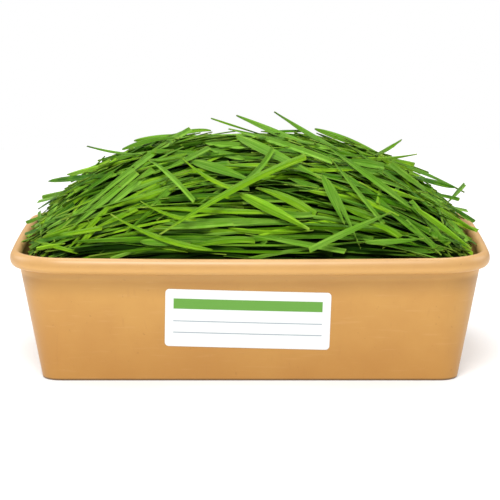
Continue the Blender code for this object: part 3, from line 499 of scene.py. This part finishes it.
def seen_blade(row, rng):
    """A blade of TOP_BLADES, on a smooth line through the places of its ends and middle."""
    stem_x, stem_z, far_x, far_z, bow, width, fold, pointed = row
    blade = SimpleNamespace(width=width * SEEN_WIDTH / 1000, fold=fold, tipped=bool(pointed))
    blade.slant = rng.uniform(*SLANTS, 2)
    blade.reach = OVER_SIDES if max(abs(stem_x), abs(far_x)) > OVER_FROM else INSIDE_RIM
    ends = np.array([[stem_x, stem_z], [far_x, far_z]]) / 1000
    middle = ends.mean(0) + (0, bow / 1000)
    start, centre, stop = [spot(*place, blade.reach) for place in (ends[0], middle, ends[1])]
    near, far = sorted((start[1], stop[1]))
    centre = np.array(seen_at(*middle, np.clip(centre[1], near - DEPTH_BOW, far + DEPTH_BOW)))
    t = np.linspace(0, 1, LINE_STEPS)[:, None]
    line = (1 - t) * (1 - 2 * t) * start + 4 * t * (1 - t) * centre + t * (2 * t - 1) * stop
    run = np.hypot(*np.diff(line[:, :2], axis=0).T)
    reached = np.concatenate([[0], np.cumsum(run)])
    blade.length = reached[-1]
    blade.share = np.linspace(0, 1, int(blade.length / HARD_CELL) + 4)
    blade.along = (blade.share - 0.5) * blade.length
    stops = blade.share * blade.length
    blade.x, blade.y, blade.z = (np.interp(stops, reached, line[:, axis]) for axis in range(3))
    blade.turned = np.unwrap(np.arctan2(np.gradient(blade.y), np.gradient(blade.x)))
    facing = np.arctan2(np.cos(blade.turned) * math.cos(VIEW_DIP), math.sin(VIEW_DIP))
    lean = cross_lean(blade) + rng.normal(0, SEEN_ROLL)
    blade.rolls = lean + FACING_SHARE * (facing - lean)
    return blade


def cross_lean(blade):
    """How much the heap's top leans across a blade."""
    nudge_x = -NUDGE * np.sin(blade.turned)
    nudge_y = NUDGE * np.cos(blade.turned)
    left = heap_top(blade.x + nudge_x, blade.y + nudge_y)
    right = heap_top(blade.x - nudge_x, blade.y - nudge_y)
    return math.atan(np.mean(left - right) / (2 * NUDGE))


def settle_blade(blade, field, clearance):
    """Slide a blade along the line of sight, tilt and bend it, and lift it clear of the rest."""
    viewpoint = np.array(VIEWPOINT)[:, None]
    seen = np.stack([blade.x, blade.y, blade.z]) - viewpoint
    part = blade.share * 2 - 1
    least = math.inf
    for slide in SLIDES:
        blade.x, blade.y, wanted = seen * (1 + slide / seen[1].mean()) + viewpoint
        for tilt in TILTS:
            for bend in BENDS:
                blade.z = wanted + tilt * part + bend * (part ** 2 - 1 / 3)
                blade.z = blade.z + field.lift(blade_points(blade), clearance)
                miss = np.mean((blade.z - wanted) ** 2) + (SLIDE_COST * slide) ** 2
                if miss < least:
                    least = miss
                    chosen = (blade.x, blade.y, blade.z)
    blade.x, blade.y, blade.z = chosen


def lay_seen(field, rows, rng, on_top):
    """Lay blades of TOP_BLADES in order, into the pile or clear on top of it."""
    laid = []
    for row in rows:
        blade = seen_blade(row, rng)
        if on_top:
            settle_blade(blade, field, BLADE_THICK / 2 + GAP)
            field.lie_on(blade_points(blade))
        else:
            field.sink_in(blade_points(blade))
        laid.append(blade)
    return laid


def rest_blade(blade, field, clearance):
    """Bend a blade to the ground below it as far as it droops, and lift it clear."""
    blade.rolls = cross_lean(blade) * blade.lean + blade.roll + blade.twist * (blade.share - 0.5)
    ground = field.soft[field.cells(blade.x, blade.y)]
    bend = np.clip(np.polyfit(blade.along, ground, 2)[0], -blade.droop / 2, SAG_UP)
    slope = np.polyfit(blade.along, ground - bend * blade.along ** 2, 1)[0]
    blade.z = slope * blade.along + bend * blade.along ** 2
    blade.z += field.lift(blade_points(blade), clearance)


def lay_lower(field, count, rng):
    """The blades inside the heap: each goes to the emptiest of a few places and sinks in."""
    laid = []
    while len(laid) < count:
        blade = pick_blade(rng, LIMP_BELOW)
        emptiest = -math.inf
        for _ in range(PLACES_TRIED):
            if not place_blade(blade, rng):
                continue
            ground = field.soft[field.cells(blade.x, blade.y)]
            room = np.mean(heap_top(blade.x, blade.y) - ground)
            if room > emptiest:
                emptiest = room
                chosen = (blade.x, blade.y, blade.turned)
        if emptiest > -math.inf:
            blade.x, blade.y, blade.turned = chosen
            rest_blade(blade, field, 0)
            allowed = np.maximum(heap_top(blade.x, blade.y), TUB_HEIGHT) + STICK_OUT
            if np.all(blade.z < allowed):
                field.sink_in(blade_points(blade))
                laid.append(blade)
    return laid


def lay_back(field, count, rng):
    """Named blades on the back half: each goes where it lies lowest and clears all the others."""
    laid = []
    while len(laid) < count:
        blade = pick_blade(rng, LIMP_ON_TOP)
        lowest = math.inf
        for _ in range(TOP_PLACES_TRIED):
            if not place_blade(blade, rng) or blade.y.min() < 0:
                continue
            rest_blade(blade, field, BLADE_THICK / 2 + GAP)
            height = np.mean(blade.z - heap_top(blade.x, blade.y))
            if height < lowest:
                lowest = height
                chosen = (blade.x, blade.y, blade.turned, blade.rolls, blade.z)
        if lowest < math.inf:
            blade.x, blade.y, blade.turned, blade.rolls, blade.z = chosen
            field.lie_on(blade_points(blade))
            laid.append(blade)
    return laid


def lay_heap(field, rng):
    """Every blade in order: those joined in the pile, then the named ones."""
    lower = lay_lower(field, LOWER_BLADES, rng)
    under = len(TOP_BLADES) + BACK_BLADES - NAMED_BLADES
    lower += lay_seen(field, TOP_BLADES[:under], rng, False)
    named = lay_seen(field, TOP_BLADES[under:], rng, True)
    named += lay_back(field, BACK_BLADES, rng)
    return lower, named


# ---- node materials

class Recipe:
    """A Principled material and the nodes that feed it."""

    def __init__(self, name):
        self.material = bpy.data.materials.new(name)
        self.material.use_nodes = True
        self.nodes = self.material.node_tree.nodes
        self.links = self.material.node_tree.links
        self.shader = self.nodes["Principled BSDF"]

    def node(self, kind, **settings):
        made = self.nodes.new("ShaderNode" + kind)
        for key, value in settings.items():
            setattr(made, key, value)
        return made

    def feed(self, value, socket):
        """Set a socket from a number, a colour or another node's output."""
        if isinstance(value, bpy.types.NodeSocket):
            self.links.new(value, socket)
        elif isinstance(value, (tuple, list)) and len(value) == 3 and socket.type == "RGBA":
            socket.default_value = (*value, 1)
        else:
            socket.default_value = value

    def stretch(self, place, scale, turn=(0, 0, 0)):
        """Scale and turn the place that a pattern is read at."""
        mapping = self.node("Mapping")
        mapping.inputs["Scale"].default_value = scale
        mapping.inputs["Rotation"].default_value = turn
        self.links.new(place, mapping.inputs["Vector"])
        return mapping.outputs["Vector"]

    def object_place(self, scale=(1, 1, 1), turn=(0, 0, 0)):
        return self.stretch(self.node("TexCoord").outputs["Object"], scale, turn)

    def sheet_place(self):
        return self.node("UVMap", uv_map="UVMap").outputs["UV"]

    def split(self, place):
        """The three parts of a place."""
        made = self.node("SeparateXYZ")
        self.links.new(place, made.inputs[0])
        return made.outputs

    def attribute(self, name):
        return self.node("Attribute", attribute_name=name).outputs["Fac"]

    def maths(self, operation, first, second=0.0, third=0.0):
        made = self.node("Math", operation=operation)
        for value, socket in zip((first, second, third), made.inputs):
            self.feed(value, socket)
        return made.outputs[0]

    def mix(self, share, first, second):
        made = self.node("Mix", data_type="RGBA")
        self.feed(share, made.inputs["Factor"])
        self.feed(first, made.inputs[6])
        self.feed(second, made.inputs[7])
        return made.outputs[2]

    def coats(self, colour, *layers):
        """Lay web colours over a colour in turn, each as thickly as its share says."""
        for share, code in layers:
            colour = self.mix(share, colour, srgb(code))
        return colour

    def noise(self, place, scale, detail=3.0, roughness=0.5):
        made = self.node("TexNoise")
        self.feed(place, made.inputs["Vector"])
        made.inputs["Scale"].default_value = scale
        made.inputs["Detail"].default_value = detail
        made.inputs["Roughness"].default_value = roughness
        return made.outputs["Fac"]

    def band(self, value, low, high, to_low=0.0, to_high=1.0):
        """Rescale a value from low..high, smoothly and without going past the ends."""
        made = self.node("MapRange", interpolation_type="SMOOTHSTEP")
        for item, socket in zip((value, low, high, to_low, to_high), made.inputs):
            self.feed(item, socket)
        return made.outputs["Result"]

    def stripe(self, value, low, high, strength=1.0):
        """The part of a value between two soft edges, each given by where it begins and ends."""
        return self.maths("MULTIPLY", self.band(value, *low),
                          self.band(value, *high, strength, 0.0))

    def bump(self, height, distance, strength=1.0):
        made = self.node("Bump")
        made.inputs["Distance"].default_value = distance
        made.inputs["Strength"].default_value = strength
        self.feed(height, made.inputs["Height"])
        return made.outputs["Normal"]

    def paint(self, **sockets):
        for name, value in sockets.items():
            self.feed(value, self.shader.inputs[name.replace("_", " ")])
        return self.material


def srgb(code):
    """A linear colour from a six-digit web colour."""
    parts = [int(code[at:at + 2], 16) / 255 for at in (0, 2, 4)]
    return tuple(((part + 0.055) / 1.055) ** 2.4 if part > 0.04045 else part / 12.92
                 for part in parts)


def grass_finish():
    """Leaf green: veins, a rib darkened by painted crease shade, painted highlight streaks and
    margins, painted shade on one half, pale cut ends and dry tips, and painted shade where a blade
    is buried.
    """
    make = Recipe("wheatgrass_leaf")
    place = make.sheet_place()
    across, along = make.split(place)[:2]
    tone, under = make.attribute("tone"), make.attribute("under")
    patches = make.noise(make.object_place(), 160, 3)
    grain = make.noise(make.stretch(place, (38, 3, 1)), 1.0, 3, 0.6)
    # pale streaks along the blade: painted highlights, partly random tone
    streak_highlights = make.noise(make.stretch(place, (5, 0.9, 1)), 1.0, 2, 0.6)
    veins = make.maths("SINE", make.maths("MULTIPLY", across, 2 * math.pi * VEINS))
    middle = make.maths("ABSOLUTE", make.maths("SUBTRACT", across, 0.5))
    # painted shade: the dark line along the rib stands for shade in the fold's crease
    rib = make.band(middle, 0.0, 0.05, 1.0, 0.0)
    # painted highlight: both margins lighter, as if lit along the edge
    margin = make.band(middle, 0.44, 0.5)
    shaded_half = make.band(across, 0.42, 0.58, 0.0, 0.36)
    cut_end = make.band(along, 0.01, 0.13, 0.75, 0.0)
    tip = make.band(along, 0.975, 1.0, 0.0, 0.35)
    # painted shade: darker the deeper a blade lies under the others
    buried = make.band(make.attribute("shade"), 0.05, 0.75, 0.0, 0.95)
    upper = make.mix(tone, srgb("185000"), srgb("88bc40"))
    lower = make.mix(tone, srgb("225e00"), srgb("96c81c"))
    colour = make.coats(
        make.mix(under, upper, lower),
        (make.band(patches, 0.38, 0.64, 0.0, 0.45), "5c9a08"),
        (make.band(streak_highlights, 0.5, 0.7, 0.0, 0.6), "c0e25c"),
        (make.band(grain, 0.4, 0.75, 0.0, 0.4), "2a5503"),
        (make.maths("MULTIPLY", rib, 0.35), "2f5d08"),
        (shaded_half, "1c5000"),
        (make.maths("MULTIPLY", margin, 0.2), "9cc64a"),
        (make.maths("MULTIPLY", cut_end, make.attribute("stem")), "a9c64a"),
        (tip, "8fa030"),
        (buried, "001e00"))
    crown = make.maths("MULTIPLY", make.maths("POWER", middle, 2.0), -4 * LEAF_CROWN)
    relief = make.maths("MULTIPLY_ADD", grain, 0.6, crown)
    normal = make.bump(make.maths("MULTIPLY_ADD", veins, 0.35, relief), LEAF_BUMP)
    rough = make.maths("MULTIPLY_ADD", grain, 0.2, make.band(under, 0.0, 1.0, 0.46, 0.34))
    return make.paint(Base_Color=colour, Roughness=rough, Normal=normal, IOR=1.4,
                      Specular_IOR_Level=0.36, Specular_Tint=(0.55, 1.0, 0.2))


def core_finish():
    """Painted shade: near-black green with paler strands, standing in for the deepest blades in
    shadow.
    """
    make = Recipe("wheatgrass_depth_shade")
    along = make.noise(make.object_place((45, 560, 560)), 1.0, 3, 0.6)
    crossed = make.noise(make.object_place((50, 620, 620), (0, 0, 0.5)), 1.0, 3, 0.6)
    colour = make.coats(
        # painted shade: the core's near-black green stands for shade deep in the heap
        make.mix(make.band(along, 0.46, 0.6), srgb("061e00"), srgb("3a7a0c")),
        (make.band(crossed, 0.54, 0.6, 0.0, 0.9), "4c8c16"),
        (make.band(crossed, 0.4, 0.47, 0.7, 0.0), "041600"))
    normal = make.bump(along, CORE_BUMP)
    return make.paint(Base_Color=colour, Roughness=0.9, Normal=normal, Specular_IOR_Level=0.1)


def kraft_finish():
    """Kraft board: fibres and flecks, with painted light and shade by height: a painted highlight
    on the roll, painted light under it, a painted shadow below the lip, painted shade darkening
    towards the table and a painted contact shadow at the foot.
    """
    make = Recipe("kraft_board_brown")
    place = make.object_place()
    height = make.split(place)[2]
    cloud = make.noise(place, 38, 4, 0.6)
    fleck = make.noise(place, 520, 2, 0.6)
    level = make.noise(make.object_place((90, 90, 900), (0.0, 0.35, 0.3)), 1.0, 2)
    upright = make.noise(make.object_place((800, 800, 80), (0.3, 0.2, -0.3)), 1.0, 2)
    colour = make.coats(
        make.mix(make.band(cloud, 0.3, 0.7), srgb("bc8840"), srgb("c49248")),
        (make.band(level, 0.58, 0.75, 0.0, 0.12), "deb27a"),
        (make.band(upright, 0.62, 0.78, 0.0, 0.18), "a8733a"),
        (make.band(fleck, 0.68, 0.78, 0.0, 0.35), "8e5d2c"),
        # painted shade: the wall darkens towards the table
        (make.band(height, *LOW_WALL_SHADE, 0.44, 0.0), "a56c20"),
        # painted highlight: the top of the roll paler
        (make.band(height, *ROLL_CREST_HIGHLIGHT, 0.0, 0.25), "d8bc98"),
        # painted light: the lower part of the roll lightened
        (make.stripe(height, *ROLL_UNDERSIDE_LIGHT, 0.55), "e4b26c"),
        # painted light over the roll's shadow just under the lip
        (make.stripe(height, *UNDER_LIP_LIGHT, 0.6), "dfae64"),
        # painted shadow: a darker band a little below the lip
        (make.stripe(height, *BELOW_LIP_SHADOW, 0.32), "8f6730"),
        # painted contact shadow: a dark line at the foot
        (make.band(height, *FOOT_SHADOW, 0.75, 0.0), "4a3416"))
    rise = make.maths("ADD", level, make.maths("MULTIPLY", fleck, 0.6))
    rough = make.band(cloud, 0.3, 0.7, 0.36, 0.44)
    return make.paint(Base_Color=colour, Roughness=rough, Normal=make.bump(rise, BOARD_BUMP, 0.5))


def label_finish():
    """White paper with a green header band and plain ruled lines."""
    make = Recipe("label_paper_white")
    across, up = make.split(make.sheet_place())[:2]
    fibres = make.noise(make.object_place((300, 300, 700)), 1.0, 3)

    def edge(place):
        return place - LABEL_BAR_SOFT, place + LABEL_BAR_SOFT

    wide = make.stripe(across, *map(edge, LABEL_BAR_ENDS))
    bars = [(make.maths("MULTIPLY", make.stripe(up, edge(low), edge(high)), wide), code)
            for low, high, code in LABEL_BARS]
    colour = make.coats(make.mix(fibres, srgb("dfe3e2"), srgb("e8ebea")), *bars)
    return make.paint(Base_Color=colour, Roughness=0.38, Normal=make.bump(fibres, PAPER_BUMP, 0.4))


# ---- making tools

def start_piece(name):
    """Name the primitive that was just added and open it for editing."""
    piece = bpy.context.active_object
    piece.name = piece.data.name = name
    bpy.ops.object.mode_set(mode="EDIT")
    return piece


def start_square(name):
    """Add a square one unit wide and open it for editing."""
    bpy.ops.object.select_all(action="DESELECT")
    bpy.ops.mesh.primitive_plane_add(size=1)
    return start_piece(name)


def cut_at(places, direction):
    """In edit mode, cut the whole piece square to a direction at each place along it."""
    for place in places:
        bpy.ops.mesh.select_all(action="SELECT")
        bpy.ops.mesh.bisect(plane_co=[place * part for part in direction], plane_no=direction)


def inner_cuts(strips):
    """Where a length of one unit, centred on nothing, is cut into even strips."""
    return np.linspace(-0.5, 0.5, strips + 1)[1:-1]


def select_where(piece, test, kind="verts"):
    """In edit mode, select only the vertices, edges or faces that pass a test."""
    shape = bmesh.from_edit_mesh(piece.data)
    for part in (*shape.verts, *shape.edges, *shape.faces):
        part.select = False
    for part in getattr(shape, kind):
        if test(part):
            part.select_set(True)
    bmesh.update_edit_mesh(piece.data)


def place_selected(piece, target):
    """In edit mode, move each selected vertex to where target(vertex) says."""
    shape = bmesh.from_edit_mesh(piece.data)
    for vert in shape.verts:
        if vert.select:
            vert.co = target(vert)
    bmesh.update_edit_mesh(piece.data)


def thicken(piece, thickness, offset):
    """Leave edit mode and give a sheet its thickness."""
    wall = piece.modifiers.new("thickness", "SOLIDIFY")
    wall.thickness = thickness
    wall.offset = offset
    wall.use_even_offset = True
    bpy.ops.object.mode_set(mode="OBJECT")
    bpy.ops.object.modifier_apply(modifier=wall.name)


def hand_over(piece, material, slot, *nodes):
    """Finish a piece, seat it in the frame and let it stand for its CAD nodes."""
    piece.data.materials.clear()
    piece.data.materials.append(material)
    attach(piece, "root")
    if nodes:
        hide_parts(*nodes)


# ---- tub pieces

def loft_rings(name, rings):
    """Draw the first ring and extrude it ring by ring."""
    count = len(rings[0])
    bpy.ops.object.select_all(action="DESELECT")
    bpy.ops.mesh.primitive_circle_add(vertices=count, radius=0.01)
    piece = start_piece(name)
    shape = bmesh.from_edit_mesh(piece.data)
    order = shape.verts.layers.int.new("order")
    for index, vert in enumerate(shape.verts):
        vert[order] = index
    bmesh.update_edit_mesh(piece.data)
    for level, ring in enumerate(rings):
        if level:
            bpy.ops.mesh.extrude_edges_move()
        shape = bmesh.from_edit_mesh(piece.data)
        order = shape.verts.layers.int["order"]
        for vert in shape.verts:
            if vert.select:
                vert.co = ring[vert[order]]
        bmesh.update_edit_mesh(piece.data)
    return piece


def face_out(piece):
    """Leave edit mode with the faces pointing away from the piece's middle, for the most part."""
    bpy.ops.mesh.select_all(action="SELECT")
    shape = bmesh.from_edit_mesh(piece.data)
    shape.normal_update()
    middle = sum((vert.co for vert in shape.verts), Vector()) / len(shape.verts)
    outward = sum(face.normal.dot(face.calc_center_median() - middle) * face.calc_area()
                  for face in shape.faces)
    if outward < 0:
        bpy.ops.mesh.flip_normals()
    bpy.ops.object.mode_set(mode="OBJECT")


def wall_profile():
    """The board's outer face as (inset, z): round the foot, up the wall and into the roll."""
    points = [(wall_inset(z) + FOOT_WIDTH, z) for z in FLANGE_LEVELS]
    points += [(BASE_INSET + FOOT_WIDTH - turn, z) for turn, z in FOOT_TURNS]
    points += [(BASE_INSET + turn, z) for turn, z in reversed(FOOT_TURNS)]
    points += [(wall_inset(z), z) for z in WALL_LEVELS]
    middle_z = TUB_HEIGHT - ROLL_HALF_HEIGHT
    for degrees in ROLL_DEGREES:
        angle = math.radians(degrees)
        inset = ROLL_HALF_WIDTH - (ROLL_HALF_WIDTH - BOARD) * math.cos(angle)
        points.append((inset, middle_z + (ROLL_HALF_HEIGHT - BOARD) * math.sin(angle)))
    return points


def finish_board(board, material, node):
    """Turn a drawn sheet outwards, give it the board's thickness and hand it over."""
    face_out(board)
    thicken(board, BOARD, -1)
    bpy.ops.object.shade_smooth_by_angle(angle=BOARD_CREASE)
    hand_over(board, material, "kraft_board", node)


def stick_on(sheet, target, thickness, material, slot, *nodes):
    """Bend a flat sheet on to the wall, give it its thickness and hand it over."""
    bpy.ops.mesh.select_all(action="SELECT")
    place_selected(sheet, target)
    thicken(sheet, thickness, 1)
    bpy.ops.object.shade_smooth_by_angle(angle=THIN_CREASE)
    hand_over(sheet, material, slot, *nodes)


def make_tub_wall(material):
    wall = loft_rings("tub_wall_board", [tub_ring(inset, z) for inset, z in wall_profile()])
    finish_board(wall, material, "tub_wall")


def make_tub_floor(material):
    clearance = BOARD + GAP
    profile = [(wall_inset(z) + clearance, z) for z in SKIRT_LEVELS]
    profile += [(wall_inset(FLOOR_TOP) + clearance + bend, FLOOR_TOP) for bend in FLOOR_BENDS]
    floor = loft_rings("tub_floor_board", [tub_ring(inset, z) for inset, z in profile])
    bpy.ops.mesh.edge_face_add()
    finish_board(floor, material, "tub_floor")


def make_label(material):
    label = start_square("label_sticker")
    bpy.ops.transform.resize(value=(*LABEL_SIZE, 1))
    bpy.ops.mesh.bevel(offset=LABEL_CORNER, segments=5, affect="VERTICES")
    cut_at(inner_cuts(LABEL_STRIPS) * LABEL_SIZE[0], (1, 0, 0))
    turn = (math.cos(LABEL_TILT), math.sin(LABEL_TILT))

    def on_wall(vert):
        x = LABEL_CENTRE[0] + vert.co.x * turn[0] - vert.co.y * turn[1]
        z = LABEL_CENTRE[1] + vert.co.x * turn[1] + vert.co.y * turn[0]
        return (x, front_of_wall(x, z) - LABEL_GAP, z)

    stick_on(label, on_wall, LABEL_THICK, material, "label_paper", "label")


def make_seam(material):
    """The outer edge of the sidewall sheet where it laps over itself at the back."""
    seam = start_square("tub_seam_lap")
    cut_at(inner_cuts(SEAM_STRIPS), (1, 0, 0))

    def on_back(vert):
        x = SEAM_PLACE - vert.co.x * SEAM_WIDTH
        z = SEAM_FOOT + (vert.co.y + 0.5) * (UNDER_ROLL - SEAM_FOOT)
        return (x, -front_of_wall(x, z) - (0.5 - vert.co.x) * SEAM_THICK, z)

    stick_on(seam, on_back, SEAM_THICK, material, "kraft_board")


# ---- blade pieces

def model_blade(name, stops, strips):
    """A flat blade one unit wide and long, thick along its rib and thin at its margins."""
    blade = start_square(name)
    cut_at([stop - 0.5 for stop in stops], (0, 1, 0))
    cut_at(strips, (1, 0, 0))
    thicken(blade, FLAT_THICK, 0)
    bpy.ops.object.mode_set(mode="EDIT")
    select_where(blade, lambda vert: abs(vert.co.x) > 0.5 - NEAR)
    bpy.ops.transform.resize(value=(1, 1, 0))
    bpy.ops.mesh.remove_doubles(threshold=0.0001)
    bpy.ops.object.mode_set(mode="OBJECT")
    bpy.ops.object.shade_smooth_by_angle(angle=THIN_CREASE)
    bpy.ops.object.mode_set(mode="EDIT")
    select_where(blade, lambda edge: all(abs(vert.co.x) < NEAR for vert in edge.verts), "edges")
    bpy.ops.mesh.mark_sharp()
    bpy.ops.object.mode_set(mode="OBJECT")
    facing = blade.data.attributes.new("under", "FLOAT", "FACE")
    for face, value in zip(blade.data.polygons, facing.data):
        value.value = 1.0 if face.normal.z < -0.5 else 0.0
    for trait in ("tone", "stem", "shade"):
        blade.data.attributes.new(trait, "FLOAT", "POINT")
    return blade


def lay_copy(template, name, blade, field, rng):
    """Copy a blade and lay the copy along its line in the heap."""
    mesh = template.data.copy()
    mesh.name = name
    count = len(mesh.vertices)
    flat = np.empty(count * 3)
    mesh.vertices.foreach_get("co", flat)
    across, along, up = flat.reshape(-1, 3).T
    points = shaped(blade, across * 2, along + 0.5, up * (2 / FLAT_THICK))
    mesh.vertices.foreach_set("co", points.ravel())
    buried = field.soft[field.cells(points[:, 0], points[:, 1])] - points[:, 2]
    ridge = np.clip(1 - np.abs(points[:, 1] - RIDGE_LIT[0]) / RIDGE_LIT[1], 0, 1)
    traits = {"shade": np.clip(buried / SHADE_DEPTH, 0, 1) * (1 - ridge),
              "tone": np.full(count, blade.tone),
              "stem": np.full(count, rng.uniform(*STEM_PALENESS))}
    for trait, values in traits.items():
        mesh.attributes[trait].data.foreach_set("value", values)
    if blade.fold < 0:
        values = np.empty(len(mesh.polygons))
        mesh.attributes["under"].data.foreach_get("value", values)
        mesh.attributes["under"].data.foreach_set("value", 1 - values)
    piece = bpy.data.objects.new(name, mesh)
    bpy.context.collection.objects.link(piece)
    mesh.update()
    return piece


def shaped(blade, place, share, level):
    """Where points of the flat blade lie once it is folded, cut and laid in the heap."""
    line, side, face, run = ([np.interp(share, blade.share, rows[:, axis]) for axis in range(3)]
                             for rows in blade_frame(blade))
    reach = half_width(share, blade.tipped) * blade.width / 2
    furl = np.clip(1 - share / FURLED_SHARE, 0, 1) ** FURL_POWER * blade.furl
    inner = np.arctan(blade.fold) + furl * FURL_BY_RIB
    outer = np.arctan(blade.fold) + furl * FURL_BY_MARGIN
    far = np.abs(place)
    near = np.minimum(far, 0.5)
    rest = np.maximum(far - 0.5, 0)
    across = np.sign(place) * (near * np.cos(inner) + rest * np.cos(outer)) * reach
    rise = (near * np.sin(inner) + rest * np.sin(outer) - 0.25 * np.sin(inner)) * reach
    rise += level * RIB_THICK / 2
    ends = np.where(share < NEAR, 1.0, 0.0)
    slant = blade.slant[0] * ends
    if not blade.tipped:
        far_end = np.where(share > 1 - NEAR, 1.0, 0.0)
        slant = slant - blade.slant[1] * far_end
        ends = ends + far_end
    cut = (place * slant + np.abs(slant)) * blade.width / 4
    cut = np.where(share > 0.5, -1, 1) * np.abs(cut) * ends
    return np.stack([line[axis] + side[axis] * across + face[axis] * rise + run[axis] * cut
                     for axis in range(3)], 1)


def join_pieces(pieces, name):
    """Join pieces into their first one."""
    bpy.ops.object.select_all(action="DESELECT")
    for piece in pieces:
        piece.select_set(True)
    joined = bpy.context.view_layer.objects.active = pieces[0]
    bpy.ops.object.join()
    joined.name = joined.data.name = name
    return joined


def make_core():
    """The inside of the heap, below all the blades, dark with painted shade."""
    bpy.ops.object.select_all(action="DESELECT")
    columns, rows = CORE_GRID
    bpy.ops.mesh.primitive_grid_add(x_subdivisions=columns, y_subdivisions=rows, size=1)
    core = start_piece("heap_core")

    def mounded(vert):
        x, y = vert.co.x * 2, vert.co.y * 2
        length = math.hypot(x, y)
        bend = max(abs(x), abs(y), 1e-6) / length if length else 1
        mixed = bend + (1 - bend) * CORE_ROUNDING
        x, y = x * mixed * CORE_HALF[0], y * mixed * CORE_HALF[1]
        waves = (math.sin(x * along + y * across) for along, across in CORE_WAVES)
        ripple = math.prod(waves, start=CORE_RIPPLE)
        return (x, y, heap_top(x, y) - CORE_DEPTH + ripple)

    def drawn_down(vert):
        return (vert.co.x * CORE_TAPER[0], vert.co.y * CORE_TAPER[1], CORE_FOOT)

    bpy.ops.mesh.select_all(action="SELECT")
    place_selected(core, mounded)
    select_where(core, lambda edge: edge.is_boundary, "edges")
    bpy.ops.mesh.extrude_edges_move()
    place_selected(core, drawn_down)
    bpy.ops.mesh.edge_face_add()
    face_out(core)
    bpy.ops.object.shade_smooth_by_angle(angle=BOARD_CREASE)
    return core


def make_heap():
    leaf = grass_finish()
    field = Field()
    lower, named = lay_heap(field, np.random.default_rng(SEED))
    looks = np.random.default_rng(SEED + 1)
    rough = model_blade("rough_blade", ROUGH_STOPS, ROUGH_STRIPS)
    fine = model_blade("fine_blade", FINE_STOPS, FINE_STRIPS)
    share = math.ceil(len(lower) / LOWER_PIECES)
    for group in range(LOWER_PIECES):
        copies = []
        for blade in lower[group * share:(group + 1) * share]:
            blade.furl = looks.uniform(*FURLS)
            blade.tone = looks.uniform(0, 1)
            copies.append(lay_copy(rough, "lower_blade", blade, field, looks))
        layer = join_pieces(copies, f"lower_blades_{group + 1}")
        hand_over(layer, leaf, "wheatgrass", "blade_pile")
    for number, blade in enumerate(named, 1):
        blade.furl = looks.uniform(*FURLS)
        known = number <= len(NAMED_TONES)
        blade.tone = NAMED_TONES[number - 1] if known else looks.uniform(0, 1)
        piece = lay_copy(fine, f"top_blade_{number:02d}", blade, field, looks)
        hand_over(piece, leaf, "wheatgrass", f"blade_{number:02d}")
    for template in (rough, fine):
        bpy.data.objects.remove(template, do_unlink=True)
    hand_over(make_core(), core_finish(), "wheatgrass", "blade_pile")


# ---- studio

def add_light(name, place, target, size, power):
    lamp = bpy.data.lights.new(name, "AREA")
    lamp.energy = power
    lamp.size = size
    light = bpy.data.objects.new(name, lamp)
    light.location = place
    aim = Vector(target) - Vector(place)
    light.rotation_euler = aim.to_track_quat("-Z", "Y").to_euler()
    bpy.context.scene.collection.objects.link(light)


def set_studio():
    bpy.ops.object.select_all(action="DESELECT")
    bpy.ops.mesh.primitive_circle_add(vertices=96, radius=FLOOR_RADIUS, fill_type="NGON")
    floor = bpy.context.active_object
    floor.name = "studio_floor"
    white = Recipe("studio_white").paint(Base_Color=(0.55, 0.55, 0.55), Roughness=0.9,
                                         Emission_Color=(1, 1, 1), Emission_Strength=FLOOR_GLOW)
    floor.data.materials.append(white)
    world = bpy.data.worlds.new("studio")
    world.use_nodes = True
    nodes, links = world.node_tree.nodes, world.node_tree.links
    seen = nodes.new("ShaderNodeLightPath").outputs["Is Camera Ray"]
    strength = nodes.new("ShaderNodeMapRange")
    strength.inputs["To Min"].default_value = FILL_STRENGTH
    links.new(seen, strength.inputs["Value"])
    background = nodes["Background"]
    background.inputs["Color"].default_value = (1, 1, 1, 1)
    links.new(strength.outputs["Result"], background.inputs["Strength"])
    bpy.context.scene.world = world
    for lamp in LAMPS:
        add_light(*lamp)
    bpy.context.scene.view_settings.view_transform = "Standard"
    camera = bpy.data.cameras.new("camera")
    camera.lens = CAMERA_LENS
    stand = bpy.data.objects.new("camera", camera)
    stand.location = VIEWPOINT
    stand.rotation_euler = (CAMERA_TILT, 0, 0)
    bpy.context.scene.collection.objects.link(stand)
    bpy.context.scene.camera = stand


def main():
    set_studio()
    kraft = kraft_finish()
    make_tub_wall(kraft)
    make_tub_floor(kraft)
    make_seam(kraft)
    make_label(label_finish())
    make_heap()


main()
